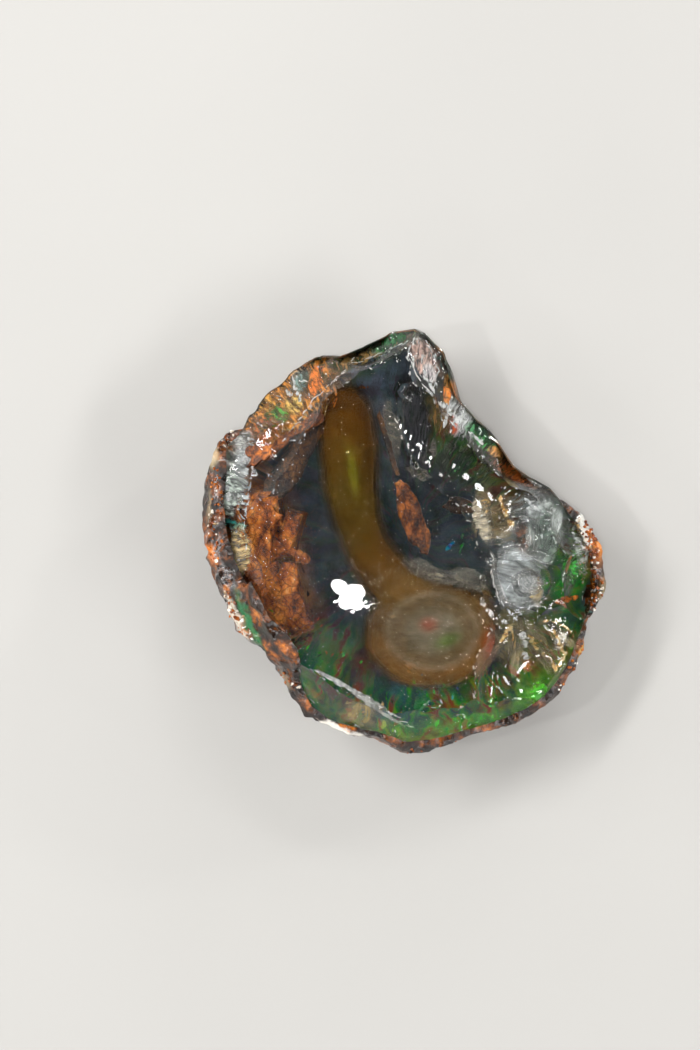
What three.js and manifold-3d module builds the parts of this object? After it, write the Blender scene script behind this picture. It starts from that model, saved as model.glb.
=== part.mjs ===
// A rough crystal opal still lying in the skin of ironstone it grew in.
//
// Three natural pieces: the clear opal, broken open by blows so that its face and edges are shallow
// shell-shaped scars; the rind of brown ironstone that wraps its back, climbs its left side and
// stands up into the opal in rusty blocks; and the cloud of milky brown opal that rises from the
// rind's bed into the clear opal, where it shows from above as a long neck and a round bulb.
// Units are millimetres and +Z is up. The stone lies on its back with its window facing up. X runs
// across the window and Y towards the pointed end. The origin is on the resting face, under the
// middle of the stone.

import * as THREE from "three";
import { mergeVertices } from "three/addons/utils/BufferGeometryUtils.js";
import { ImprovedNoise } from "three/addons/math/ImprovedNoise.js";
import Module from "manifold-3d";

const wasm = await Module();
wasm.setup();

// ---- Driving dimensions -------------------------------------------------------------------------

const WIDTH = 50; // across the stone, along X
const DRAWN_WIDTH = 50; // the width that the plan and the scars are drawn at
const WAIST = 8.0; // height of the widest part of the uncut nodule
const CROWN = 25.0; // top of the uncut nodule, long since broken away
const SINK = 0.2; // how far the uncut back reached below the flat that the stone rests on
const FULLNESS = 0.8; // 1 for an egg's outline seen from the side, less for squarer shoulders
const RIND_BELOW = 2.2; // thickness of the rind under the opal
const SEAM = 0.3; // open seam between opal and rind
const DOME = { x: -5, y: -5, top: 16.6, radius: 84 }; // the broad, slightly domed window

// Edge of one triangle, on the nodule's two skins and on the scars.
const RIND_FACET = 2.1;
const BED_FACET = 3.5;
const WIDEST_FACET = 3.4;
const FINEST_FACET = 1.4;

const K = WIDTH / DRAWN_WIDTH;

// The plan of the whole stone, anticlockwise from its right side.
const PLAN = [
  [23.6, 0.6], [22.6, 2.2], [20.9, 4.6], [18.7, 5.8], [16.6, 7.4], [13.7, 8.3],
  [11.6, 10.7], [10.1, 12.8], [7.8, 15.1], [5.9, 17.8], [6.0, 19.8], [5.3, 21.6],
  [4.0, 23.6], [2.4, 25.1], [0.5, 25.6], [-2.4, 24.8], [-5.3, 23.2], [-7.1, 22.2],
  [-9.6, 22.5], [-11.7, 21.7], [-14.2, 20.0], [-17.6, 17.2], [-19.6, 14.5], [-21.2, 14.3],
  [-22.8, 13.2], [-24.1, 9.6], [-24.9, 6.2], [-25.0, 2.6], [-24.4, -1.2], [-23.2, -5.1],
  [-21.8, -8.4], [-20.2, -11.2], [-17.8, -13.1], [-15.7, -15.2], [-13.7, -18.4], [-11.7, -21.1],
  [-7.4, -23.1], [-3.2, -24.2], [0.1, -25.5], [3.0, -25.2], [6.9, -24.0], [11.9, -22.5],
  [15.5, -21.0], [18.7, -18.9], [20.5, -15.9], [22.0, -13.0], [22.4, -10.4], [23.8, -8.0],
  [25.0, -5.5], [24.2, -2.4],
];

// Thickness of the rind at the stone's waist, by compass angle in degrees. Below nothing, the rind
// has come away there and the bare opal stands proud of it.
const RIND_BESIDE = [
  [-180, 2.9], [-160, 3.0], [-142, 2.6], [-126, 1.4], [-112, 0.9], [-90, 1.3], [-66, 1.0],
  [-45, 1.2], [-20, 0.9], [0, 1.5], [14, 1.0], [24, -0.5], [50, -0.9], [80, -0.7], [118, -0.8],
  [138, -0.4], [148, 1.2], [160, 2.6],
];
// How strongly the beds of ironstone stand out as ledges, by the same angle.
const LEDGE_DEPTH = [
  [-180, 1.5], [-150, 1.4], [-128, 1.0], [-90, 0.6], [-30, 0.5], [20, 0.7], [60, 0.3], [120, 0.4],
  [150, 1.3],
];
const LEDGE_STEP = 2.5; // thickness of one bed
const BEDDING = new THREE.Vector3(0.22, -0.16, 1).normalize(); // square to the beds

// ---- Scars --------------------------------------------------------------------------------------
// A scar is the hollow left by a flake struck off the stone. It lies "drop" below the dome of the
// window at the place "at", faces "out" and curves with "radius". "long" stretches it into a flute
// that runs away from "blow", the place where it was struck, and "ripple" is the height of the
// rings round that place.

const SCARS = [
  // Two broad hollows in the window: the dark one on the upper right, and one on the upper left
  // beside the ledges.
  { at: [5.6, 12.2], drop: 1.9, out: [0.22, 0.22, 0.95], radius: 15, long: 1.7, blow: [12, 5] },
  { at: [-17.0, 10.6], drop: 2.0, out: [-0.38, 0.34, 0.86], radius: 13, long: 1.5, blow: [-10, 18] },
  // The rippled bowl on the right, and the notches in the rim beyond it.
  { at: [14.4, 1.8], drop: 2.2, out: [0.2, 0.1, 0.97], radius: 11, blow: [18, 5], ripple: 0.16 },
  { at: [14.8, -5.4], drop: 1.9, out: [0.14, -0.08, 0.98], radius: 9, blow: [19, 4], ripple: 0.14 },
  { at: [20.4, 1.4], drop: 3.4, out: [0.62, 0.34, 0.7], radius: 9, blow: [22, 3], ripple: 0.1 },
  { at: [21.4, -4.6], drop: 3.6, out: [0.72, -0.06, 0.69], radius: 9, blow: [25, -6], ripple: 0.1 },
  // A steep bevel under the lower left ridge, then a softer one round the foot.
  { at: [-10.8, -18.4], drop: 3.2, out: [-0.5, -0.62, 0.6], radius: 30, blow: [-13, -20] },
  { at: [-4.4, -21.8], drop: 3.3, out: [-0.3, -0.74, 0.6], radius: 46, blow: [-6, -24] },
  { at: [4.6, -23.2], drop: 3.3, out: [0.08, -0.72, 0.69], radius: 70, blow: [3, -26] },
  { at: [12.2, -20.8], drop: 3.3, out: [0.32, -0.64, 0.7], radius: 44, blow: [13, -23] },
  // Short flutes fanning out of the lower right corner.
  { at: [12.4, -13.2], drop: 1.5, out: [0.1, -0.3, 0.95], radius: 4.6, long: 2.2, blow: [13, -8] },
  { at: [15.2, -13.6], drop: 1.9, out: [0.24, -0.36, 0.9], radius: 4.2, long: 2.4, blow: [14, -8] },
  { at: [17.6, -12.8], drop: 2.3, out: [0.42, -0.36, 0.83], radius: 4.0, long: 2.6, blow: [14, -8] },
  { at: [19.4, -10.2], drop: 2.4, out: [0.5, -0.2, 0.84], radius: 4.6, long: 2.2, blow: [14, -8] },
  { at: [18.6, -16.8], drop: 4.0, out: [0.62, -0.5, 0.6], radius: 16, blow: [20, -18] },
  { at: [21.4, -12.0], drop: 4.0, out: [0.76, -0.26, 0.6], radius: 12, blow: [23, -13] },
  // Bright chisel-like flakes down the upper right edge.
  { at: [3.4, 21.8], drop: 2.4, out: [0.68, 0.24, 0.69], radius: 8, long: 1.7, blow: [2, 25] },
  { at: [5.6, 18.4], drop: 2.9, out: [0.84, 0.1, 0.54], radius: 6, blow: [6, 20] },
  { at: [7.0, 14.9], drop: 3.0, out: [0.66, 0.4, 0.64], radius: 6, long: 1.9, blow: [5, 18] },
  { at: [9.8, 11.9], drop: 3.2, out: [0.64, 0.5, 0.58], radius: 6, long: 1.4, blow: [8, 14] },
  { at: [13.2, 8.4], drop: 3.0, out: [0.44, 0.66, 0.6], radius: 8, long: 1.7, blow: [11, 10] },
  { at: [18.4, 5.4], drop: 3.2, out: [0.46, 0.64, 0.62], radius: 9, long: 1.4, blow: [21, 5] },
  // The dark bevel over the pointed end.
  { at: [-3.2, 23.4], drop: 2.2, out: [-0.34, 0.76, 0.56], radius: 16, long: 1.5, blow: [1, 26] },
  // The upper left shoulder: a broad bevel, then a fan of flutes down it.
  { at: [-13.6, 17.2], drop: 3.1, out: [-0.5, 0.6, 0.62], radius: 30, blow: [-16, 20] },
  { at: [-8.2, 20.6], drop: 2.0, out: [-0.3, 0.68, 0.67], radius: 2.7, long: 2.6, blow: [-7, 16] },
  { at: [-10.9, 19.8], drop: 3.6, out: [-0.4, 0.66, 0.65], radius: 2.7, long: 2.6, blow: [-8, 16] },
  { at: [-13.5, 18.2], drop: 4.5, out: [-0.46, 0.6, 0.65], radius: 2.9, long: 2.4, blow: [-10, 15] },
  { at: [-16.1, 16.0], drop: 4.6, out: [-0.54, 0.54, 0.65], radius: 3.2, long: 2.2, blow: [-12, 13] },
  { at: [-18.8, 13.6], drop: 4.3, out: [-0.62, 0.46, 0.64], radius: 3.4, long: 2.0, blow: [-14, 11] },
  // Silvery flakes between the window and the ledges on the left.
  { at: [-21.0, 7.6], drop: 2.4, out: [-0.62, 0.16, 0.77], radius: 5, long: 1.7, blow: [-21, 12] },
  { at: [-21.2, 2.0], drop: 2.0, out: [-0.66, -0.04, 0.75], radius: 5, long: 1.9, blow: [-22, 8] },
  { at: [-20.2, -3.6], drop: 1.9, out: [-0.62, -0.1, 0.78], radius: 5, long: 1.9, blow: [-21, 2] },
  { at: [-18.4, -9.0], drop: 2.2, out: [-0.6, -0.36, 0.72], radius: 6.5, long: 1.6, blow: [-21, -4] },
  { at: [-15.2, -14.2], drop: 2.7, out: [-0.54, -0.56, 0.63], radius: 9, long: 1.4, blow: [-18, -12] },
  // Blows that bruised the ledges themselves.
  { at: [-23.6, 4.6], drop: 4.6, out: [-0.86, 0.06, 0.5], radius: 4, long: 1.7, blow: [-24, 10] },
  { at: [-22.6, -4.4], drop: 4.8, out: [-0.84, -0.2, 0.5], radius: 5, long: 1.6, blow: [-24, 2] },
  { at: [-19.2, -11.4], drop: 5.4, out: [-0.76, -0.46, 0.46], radius: 5, long: 1.5, blow: [-22, -7] },
];
const RIPPLE_LENGTH = 3.2; // from crest to crest
const RIND_SPARED = 0.25; // the rind broke a little less deeply than the glassy opal

// ---- What stands in the clear opal --------------------------------------------------------------

// The brown cloud's neck, from its upper end down into the bulb: its widest level, how far it
// reaches to each side there and how far it rises above it.
const NECK = [
  { at: [-7.0, 18.4, 9.0], side: 1.3, rise: 1.0 },
  { at: [-7.0, 16.8, 9.5], side: 2.7, rise: 1.7 },
  { at: [-6.9, 13.6, 10.6], side: 3.3, rise: 2.2 },
  { at: [-6.6, 9.4, 11.5], side: 3.4, rise: 2.5 },
  { at: [-6.3, 5.0, 11.7], side: 2.9, rise: 2.5 },
  { at: [-5.2, 0.8, 11.7], side: 2.6, rise: 2.5 },
  { at: [-3.3, -2.8, 11.7], side: 2.9, rise: 2.5 },
  { at: [-0.6, -5.6, 11.7], side: 3.2, rise: 2.5 },
  { at: [2.6, -8.2, 11.7], side: 3.2, rise: 2.5 },
];
const NECK_STEPS = 9;
// A section across the neck, from its root at -1, through its widest level at 0, to its top at 1.
const NECK_SECTION = [
  [-0.5, -1], [0.5, -1], [1, -0.1], [0.92, 0.5], [0.5, 1], [-0.5, 1], [-0.92, 0.5], [-1, -0.1],
];
const BULB = { at: [3.0, -10.6, 11.2], half: [8.0, 6.9, 3.2] };
const BULB_FACET = 3.1;
const BULB_ROOT = 0.5; // how wide its root is on the bed, as a share of the bulb above it

// The rusty blocks on the left: the middle of each one's top, its width and length, and its turn in
// degrees round the vertical.
const BLOCKS = [
  { top: [-17.2, 3.7, 10.9], size: [4.2, 3.2], turn: 4 },
  { top: [-17.4, -0.8, 10.6], size: [3.2, 6.0], turn: -4 },
  { top: [-13.7, 1.4, 9.8], size: [1.8, 4.4], turn: -16 },
  { top: [-15.4, -0.4, 9.3], size: [3.2, 2.6], turn: 8 },
  { top: [-14.8, -6.2, 10.2], size: [4.2, 6.0], turn: 12 },
  { top: [-13.0, -9.4, 9.4], size: [2.6, 2.6], turn: 24 },
];
const BLOCK_LEAN = 5; // degrees that a block leans away from the middle of the stone

// ---- Small tools --------------------------------------------------------------------------------

const perlin = new ImprovedNoise();

// Smooth noise of about -1 to 1 whose lumps are "size" millimetres apart.
function noise(point, size) {
  return perlin.noise(point.x / size + 31.7, point.y / size + 17.3, point.z / size + 7.9);
}

// A value read off a table of [degrees, value] that runs round the circle.
function around(table, angle) {
  const degrees = THREE.MathUtils.radToDeg(angle);
  const [lastAt, lastValue] = table.at(-1);
  let [fromAt, from] = [lastAt - 360, lastValue];
  for (const [at, value] of [...table, [table[0][0] + 360, table[0][1]]]) {
    if (degrees <= at) return THREE.MathUtils.lerp(from, value, smooth(fromAt, at, degrees));
    [fromAt, from] = [at, value];
  }
  return from;
}

function smooth(from, to, value) {
  return THREE.MathUtils.smoothstep(value, from, to);
}

// The distance from the middle to the edge of the plan, as a function of the angle.
function planReach() {
  const corners = PLAN.map(([x, y]) => new THREE.Vector3(x, y, 0));
  const edge = new THREE.CatmullRomCurve3(corners, true, "centripetal").getPoints(720);
  const polar = edge.map((p) => [Math.atan2(p.y, p.x), Math.hypot(p.x, p.y)]);
  polar.sort((a, b) => a[0] - b[0]);
  return (angle) => {
    const next = polar.findIndex(([at]) => at >= angle);
    if (next <= 0) return polar[0][1];
    const [[a, from], [b, to]] = [polar[next - 1], polar[next]];
    return THREE.MathUtils.mapLinear(angle, a, Math.max(b, a + 1e-9), from, to);
  };
}

// A ball of even triangles, moved corner by corner: shape turns a unit direction into a place.
function ball(radius, facet, shape) {
  const geometry = new THREE.IcosahedronGeometry(1, Math.ceil((1.15 * radius) / facet) - 1);
  const corner = new THREE.Vector3();
  const position = geometry.attributes.position;
  for (let i = 0; i < position.count; i++) {
    corner.fromBufferAttribute(position, i).normalize();
    const { x, y, z } = shape(corner).multiplyScalar(K);
    position.setXYZ(i, x, y, z);
  }
  return solidOf(geometry);
}

// A three.js geometry with its shared corners merged, as a manifold-3d solid.
function solidOf(geometry) {
  geometry.deleteAttribute("normal");
  geometry.deleteAttribute("uv");
  const merged = mergeVertices(geometry, 1e-4);
  const [vertProperties, triVerts] = [merged.attributes.position.array, merged.index.array];
  const mesh = new wasm.Mesh({ numProp: 3, vertProperties, triVerts: new Uint32Array(triVerts) });
  return new wasm.Manifold(mesh);
}

// ---- The window and its scars -------------------------------------------------------------------

function domeHeight(x, y) {
  return DOME.top - DOME.radius + Math.sqrt(DOME.radius ** 2 - (x - DOME.x) ** 2 - (y - DOME.y) ** 2);
}

// Everything inside the dome of the window, "spared" a little higher for the rind.
function insideDome(spared) {
  const centre = new THREE.Vector3(DOME.x, DOME.y, DOME.top - DOME.radius);
  return ball(DOME.radius, WIDEST_FACET, (way) => {
    return centre.clone().addScaledVector(way, DOME.radius + spared);
  });
}

// The hollow ball, or the long hollow, whose lower side is the scar's surface.
function scarCutter({ at: [x, y], drop, out, radius, long = 1, blow, ripple = 0 }, spared) {
  const through = new THREE.Vector3(x, y, domeHeight(x, y) - drop);
  const facing = new THREE.Vector3(...out).normalize();
  const centre = through.clone().addScaledVector(facing, radius);
  const struck = new THREE.Vector3(blow[0], blow[1], through.z);
  const along = struck.clone().sub(through).projectOnPlane(facing).normalize();
  const facet = THREE.MathUtils.clamp(radius / 6, FINEST_FACET, WIDEST_FACET);
  return ball(radius, facet, (way) => {
    const place = centre.clone().addScaledVector(way, radius);
    const swell = ripple * Math.cos((place.distanceTo(struck) / RIPPLE_LENGTH) * 2 * Math.PI);
    place.addScaledVector(way, swell - spared);
    return place.addScaledVector(along, (long - 1) * (radius - spared) * way.dot(along));
  });
}

function broken(body, spared) {
  let left = body.intersect(insideDome(spared));
  for (const scar of SCARS) left = left.subtract(scarCutter(scar, spared));
  return left;
}

// ---- The nodule ---------------------------------------------------------------------------------

const reach = planReach();

// A place on the smooth skin of the whole nodule, "deep" millimetres inside it.
function onNodule(way, deep) {
  const angle = Math.atan2(way.y, way.x);
  const level = Math.hypot(way.x, way.y);
  const height = way.z > 0 ? CROWN - WAIST : WAIST + SINK;
  const out = reach(angle) * level ** FULLNESS - deep * level;
  const up = height * Math.abs(way.z) ** FULLNESS - deep * Math.abs(way.z);
  return new THREE.Vector3(out * Math.cos(angle), out * Math.sin(angle), WAIST + Math.sign(way.z) * up);
}

// The uncut opal. "grown" swells it all round, for the bed that it leaves in the rind.
function opalForm(grown) {
  return ball(WIDTH / 2, BED_FACET, (way) => {
    const beside = around(RIND_BESIDE, Math.atan2(way.y, way.x));
    const under = smooth(0.05, 0.5, -way.z);
    const place = onNodule(way, THREE.MathUtils.lerp(beside, RIND_BELOW, under) - grown);
    return place.addScaledVector(way, 0.5 * under * noise(place, 7));
  });
}

// The whole nodule in its rind: knobbly, with the edges of its beds standing out as ledges.
function rindForm() {
  return ball(WIDTH / 2, RIND_FACET, (way) => {
    const place = onNodule(way, 0);
    const bed = place.dot(BEDDING) / LEDGE_STEP + 0.5 * noise(place, 9);
    const weathered = 1 - (bed - Math.floor(bed)) ** 0.6;
    const flank = Math.hypot(way.x, way.y) ** 4;
    const ledge = around(LEDGE_DEPTH, Math.atan2(way.y, way.x)) * flank * weathered;
    const lumps = 0.75 * noise(place, 6.5) + 0.45 * noise(place, 2.9);
    return place.addScaledVector(way, (1 - 0.5 * flank) * lumps - ledge);
  });
}

// The neck of the brown cloud: its section drawn out straight, then laid along its middle line.
function neckForm(grown) {
  const section = new THREE.Shape(NECK_SECTION.map(([across, up]) => new THREE.Vector2(across, up)));
  const straight = { depth: 1, steps: NECK_STEPS, bevelEnabled: false };
  const geometry = new THREE.ExtrudeGeometry(section, straight);
  const line = new THREE.CatmullRomCurve3(NECK.map(({ at }) => new THREE.Vector3(...at)));
  const sizes = NECK.map(({ side, rise }) => new THREE.Vector3(side + grown, rise + grown, 0));
  const size = new THREE.CatmullRomCurve3(sizes);
  const corner = new THREE.Vector3();
  const position = geometry.attributes.position;
  for (let i = 0; i < position.count; i++) {
    corner.fromBufferAttribute(position, i);
    const place = line.getPoint(corner.z);
    const { x: side, y: rise } = size.getPoint(corner.z);
    const ahead = line.getTangent(corner.z).setZ(0).normalize();
    const across = new THREE.Vector3(-ahead.y, ahead.x, 0);
    place.z += corner.y * (corner.y > 0 ? rise : place.z);
    place.addScaledVector(across, corner.x * side);
    if (corner.z === 0) place.addScaledVector(ahead, -grown);
    position.setXYZ(i, place.x * K, place.y * K, place.z * K);
  }
  return solidOf(geometry);
}

// The bulb at the neck's lower end, which narrows below to a root on the bed.
function bulbForm(grown) {
  const middle = new THREE.Vector3(...BULB.at);
  const reach = new THREE.Vector3(...BULB.half).addScalar(grown);
  return ball(reach.x, BULB_FACET, (way) => {
    const level = Math.hypot(way.x, way.y);
    const root = 1 + (1 - BULB_ROOT) * way.z;
    const wide = way.z > 0 || level === 0 ? 1 : (root * Math.min(1, 2 * level)) / level;
    const high = way.z > 0 ? reach.z : middle.z;
    const place = new THREE.Vector3(way.x * wide * reach.x, way.y * wide * reach.y, way.z * high);
    return place.add(middle);
  });
}

// The brown cloud with its root, which reaches below the bed. "grown" swells it for its pocket.
function cloudForm(grown) {
  return neckForm(grown).add(bulbForm(grown));
}

// The rusty blocks, which go down right through the rind. "grown" swells them for their pocket.
function blockForm(grown) {
  const blocks = BLOCKS.map(({ top, size, turn }) => {
    const high = top[2] + grown;
    const geometry = new THREE.BoxGeometry(size[0] + 2 * grown, size[1] + 2 * grown, high);
    geometry.translate(0, 0, -high / 2);
    geometry.rotateZ(THREE.MathUtils.degToRad(turn));
    geometry.rotateY(-THREE.MathUtils.degToRad(BLOCK_LEAN));
    geometry.translate(top[0], top[1], high);
    geometry.scale(K, K, K);
    return solidOf(geometry);
  });
  return blocks.reduce((a, b) => a.add(b));
}

// ---- The three pieces ---------------------------------------------------------------------------

function makeOpal() {
  return broken(opalForm(0), 0).subtract(cloudForm(SEAM)).subtract(blockForm(SEAM));
}

function makeCloud() {
  return cloudForm(0).intersect(opalForm(0));
}

function makeRind() {
  const below = new THREE.BoxGeometry(4 * WIDTH, 4 * WIDTH, WIDTH);
  below.translate(0, 0, -WIDTH / 2);
  const nodule = rindForm();
  const rind = nodule.subtract(opalForm(SEAM)).add(blockForm(0).intersect(nodule));
  return broken(rind, RIND_SPARED).subtract(solidOf(below));
}

// The largest connected piece, so that no crumb cut loose by a scar is left floating.
function largest(body) {
  return body.decompose().reduce((a, b) => (a.volume() > b.volume() ? a : b));
}

function meshOf(body, name, material) {
  const { vertProperties, triVerts } = body.getMesh();
  const geometry = new THREE.BufferGeometry();
  geometry.setAttribute("position", new THREE.BufferAttribute(vertProperties, 3));
  geometry.setIndex(new THREE.BufferAttribute(triVerts, 1));
  geometry.computeVertexNormals();
  const mesh = new THREE.Mesh(geometry, material);
  mesh.name = name;
  return mesh;
}

const opalGlass = new THREE.MeshStandardMaterial({
  color: 0x33413f,
  roughness: 0.06,
  metalness: 0,
  transparent: true,
  opacity: 0.55,
});
const milkyOpal = new THREE.MeshStandardMaterial({ color: 0x6b5132, roughness: 0.4, metalness: 0 });
const ironstone = new THREE.MeshStandardMaterial({ color: 0x6b3f1f, roughness: 0.85, metalness: 0 });

const stone = new THREE.Group();
stone.name = "rough_opal";
stone.add(meshOf(largest(makeOpal()), "opal", opalGlass));
stone.add(meshOf(largest(makeCloud()), "brown_cloud", milkyOpal));
stone.add(meshOf(largest(makeRind()), "rind", ironstone));

// The origin goes to the middle of the footprint, on the resting face.
const extent = new THREE.Box3().setFromObject(stone);
const middle = extent.getCenter(new THREE.Vector3());
stone.position.set(-middle.x, -middle.y, -extent.min.z);

export default stone;
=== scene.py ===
# A rough crystal opal in its skin of ironstone, lying on its back on a pale table.
#
# The three solids come from the frame. The opal is broken again here with smooth, rippled scars, the
# brown cloud is given its soft edge, and the rind is roughened and grown with crumbs. The thin things
# inside the clear opal are made here too: rust, healed cracks, bruises and flashes of colour. Many of
# the white flakes, lines and film patches, and the whitest crust and crumbs on the rind, are painted
# highlights, and one dark film patch is a painted shadow.

import math
import random

import bmesh
import bpy
from mathutils import Matrix, Vector, noise
from mathutils.bvhtree import BVHTree


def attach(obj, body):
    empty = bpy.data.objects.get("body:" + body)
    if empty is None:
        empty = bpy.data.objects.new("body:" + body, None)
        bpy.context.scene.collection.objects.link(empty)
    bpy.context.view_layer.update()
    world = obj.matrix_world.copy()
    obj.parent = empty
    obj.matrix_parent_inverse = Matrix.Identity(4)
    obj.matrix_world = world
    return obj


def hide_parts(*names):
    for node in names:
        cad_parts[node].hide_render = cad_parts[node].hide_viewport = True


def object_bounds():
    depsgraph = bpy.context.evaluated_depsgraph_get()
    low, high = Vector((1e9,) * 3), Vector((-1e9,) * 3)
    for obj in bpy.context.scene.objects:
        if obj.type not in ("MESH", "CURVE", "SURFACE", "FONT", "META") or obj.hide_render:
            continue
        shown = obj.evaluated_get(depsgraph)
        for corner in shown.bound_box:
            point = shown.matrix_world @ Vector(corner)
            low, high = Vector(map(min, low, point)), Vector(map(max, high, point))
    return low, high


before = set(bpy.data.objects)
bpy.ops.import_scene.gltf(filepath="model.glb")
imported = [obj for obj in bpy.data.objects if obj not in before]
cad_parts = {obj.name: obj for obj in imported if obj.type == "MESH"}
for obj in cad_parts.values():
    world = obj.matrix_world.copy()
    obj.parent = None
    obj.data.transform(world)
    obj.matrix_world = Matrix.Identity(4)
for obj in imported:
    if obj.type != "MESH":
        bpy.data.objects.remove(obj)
cad_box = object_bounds()

MM = 0.001
random.seed(7)

# ---- The stone's own measures, in millimetres ---------------------------------------------------

# The window's dome, the scars and all that lies inside are drawn from the stone's own middle, which
# lies here in the frame.
DRAWN = Vector((0.02, -0.255, 0.0))
DOME = {"x": -5, "y": -5, "top": 16.6, "radius": 84}
CLEAR = 0.04  # how much deeper the smooth scars cut than the solid's flat facets
SEAM_CLOSED = 0.12  # how far the rind's inner face is let into the opal, so that they touch
TOUCHING = 0.4  # how near two solids' faces lie where they touch
BED = 0.45  # how near to the opal the rind's smooth bed reaches
# The same fade ends the painted wet highlights that are laid in with the crust.
RIND_EDGE_FADES = (3.0, 1.2)  # how far below the rind's edge its crust ends, and where it is whole
OVER = 40  # a height over the stone, to look straight down from
DOWN = Vector((0, 0, -1))

# Each scar: its deepest place, how far that lies below the dome, the way it faces, its radius, its
# stretch, and the place of the blow that its ripples run round.
SCARS = [
    ((5.6, 12.2), 1.9, (0.22, 0.22, 0.95), 15, 1.7, (12, 5)),
    ((-17.0, 10.6), 2.0, (-0.38, 0.34, 0.86), 13, 1.5, (-10, 18)),
    ((14.4, 1.8), 2.2, (0.2, 0.1, 0.97), 11, 1.0, (18, 5)),
    ((14.8, -5.4), 1.9, (0.14, -0.08, 0.98), 9, 1.0, (19, 4)),
    ((20.4, 1.4), 3.4, (0.62, 0.34, 0.7), 9, 1.0, (22, 3)),
    ((21.4, -4.6), 3.6, (0.72, -0.06, 0.69), 9, 1.0, (25, -6)),
    ((-10.8, -18.4), 3.2, (-0.5, -0.62, 0.6), 30, 1.0, (-13, -20)),
    ((-4.4, -21.8), 3.3, (-0.3, -0.74, 0.6), 46, 1.0, (-6, -24)),
    ((4.6, -23.2), 3.3, (0.08, -0.72, 0.69), 70, 1.0, (3, -26)),
    ((12.2, -20.8), 3.3, (0.32, -0.64, 0.7), 44, 1.0, (13, -23)),
    ((12.4, -13.2), 1.5, (0.1, -0.3, 0.95), 4.6, 2.2, (13, -8)),
    ((15.2, -13.6), 1.9, (0.24, -0.36, 0.9), 4.2, 2.4, (14, -8)),
    ((17.6, -12.8), 2.3, (0.42, -0.36, 0.83), 4.0, 2.6, (14, -8)),
    ((19.4, -10.2), 2.4, (0.5, -0.2, 0.84), 4.6, 2.2, (14, -8)),
    ((18.6, -16.8), 4.0, (0.62, -0.5, 0.6), 16, 1.0, (20, -18)),
    ((21.4, -12.0), 4.0, (0.76, -0.26, 0.6), 12, 1.0, (23, -13)),
    ((3.4, 21.8), 2.4, (0.68, 0.24, 0.69), 8, 1.7, (2, 25)),
    ((5.6, 18.4), 2.9, (0.84, 0.1, 0.54), 6, 1.0, (6, 20)),
    ((7.0, 14.9), 3.0, (0.66, 0.4, 0.64), 6, 1.9, (5, 18)),
    ((9.8, 11.9), 3.2, (0.64, 0.5, 0.58), 6, 1.4, (8, 14)),
    ((13.2, 8.4), 3.0, (0.44, 0.66, 0.6), 8, 1.7, (11, 10)),
    ((18.4, 5.4), 3.2, (0.46, 0.64, 0.62), 9, 1.4, (21, 5)),
    ((-3.2, 23.4), 2.2, (-0.34, 0.76, 0.56), 16, 1.5, (1, 26)),
    ((-13.6, 17.2), 3.1, (-0.5, 0.6, 0.62), 30, 1.0, (-16, 20)),
    ((-8.2, 20.6), 2.0, (-0.3, 0.68, 0.67), 2.7, 2.6, (-7, 16)),
    ((-10.9, 19.8), 3.6, (-0.4, 0.66, 0.65), 2.7, 2.6, (-8, 16)),
    ((-13.5, 18.2), 4.5, (-0.46, 0.6, 0.65), 2.9, 2.4, (-10, 15)),
    ((-16.1, 16.0), 4.6, (-0.54, 0.54, 0.65), 3.2, 2.2, (-12, 13)),
    ((-18.8, 13.6), 4.3, (-0.62, 0.46, 0.64), 3.4, 2.0, (-14, 11)),
    ((-21.0, 7.6), 2.4, (-0.62, 0.16, 0.77), 5, 1.7, (-21, 12)),
    ((-21.2, 2.0), 2.0, (-0.66, -0.04, 0.75), 5, 1.9, (-22, 8)),
    ((-20.2, -3.6), 1.9, (-0.62, -0.1, 0.78), 5, 1.9, (-21, 2)),
    ((-18.4, -9.0), 2.2, (-0.6, -0.36, 0.72), 6.5, 1.6, (-21, -4)),
    ((-15.2, -14.2), 2.7, (-0.54, -0.56, 0.63), 9, 1.4, (-18, -12)),
    ((-23.6, 4.6), 4.6, (-0.86, 0.06, 0.5), 4, 1.7, (-24, 10)),
    ((-22.6, -4.4), 4.8, (-0.84, -0.2, 0.5), 5, 1.6, (-24, 2)),
    ((-19.2, -11.4), 5.4, (-0.76, -0.46, 0.46), 5, 1.5, (-22, -7)),
]

# The rusty blocks that stand up from the rind into the opal: the middle of each one's top, its width
# and length, and its turn in degrees round the vertical.
BLOCKS = [
    ((-17.2, 3.7, 10.9), (4.2, 3.2), 4),
    ((-17.4, -0.8, 10.6), (3.2, 6.0), -4),
    ((-13.7, 1.4, 9.8), (1.8, 4.4), -16),
    ((-15.4, -0.4, 9.3), (3.2, 2.6), 8),
    ((-14.8, -6.2, 10.2), (4.2, 6.0), 12),
    ((-13.0, -9.4, 9.4), (2.6, 2.6), 24),
]
BLOCK_LEAN = -5  # degrees that a block leans about the y axis

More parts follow.
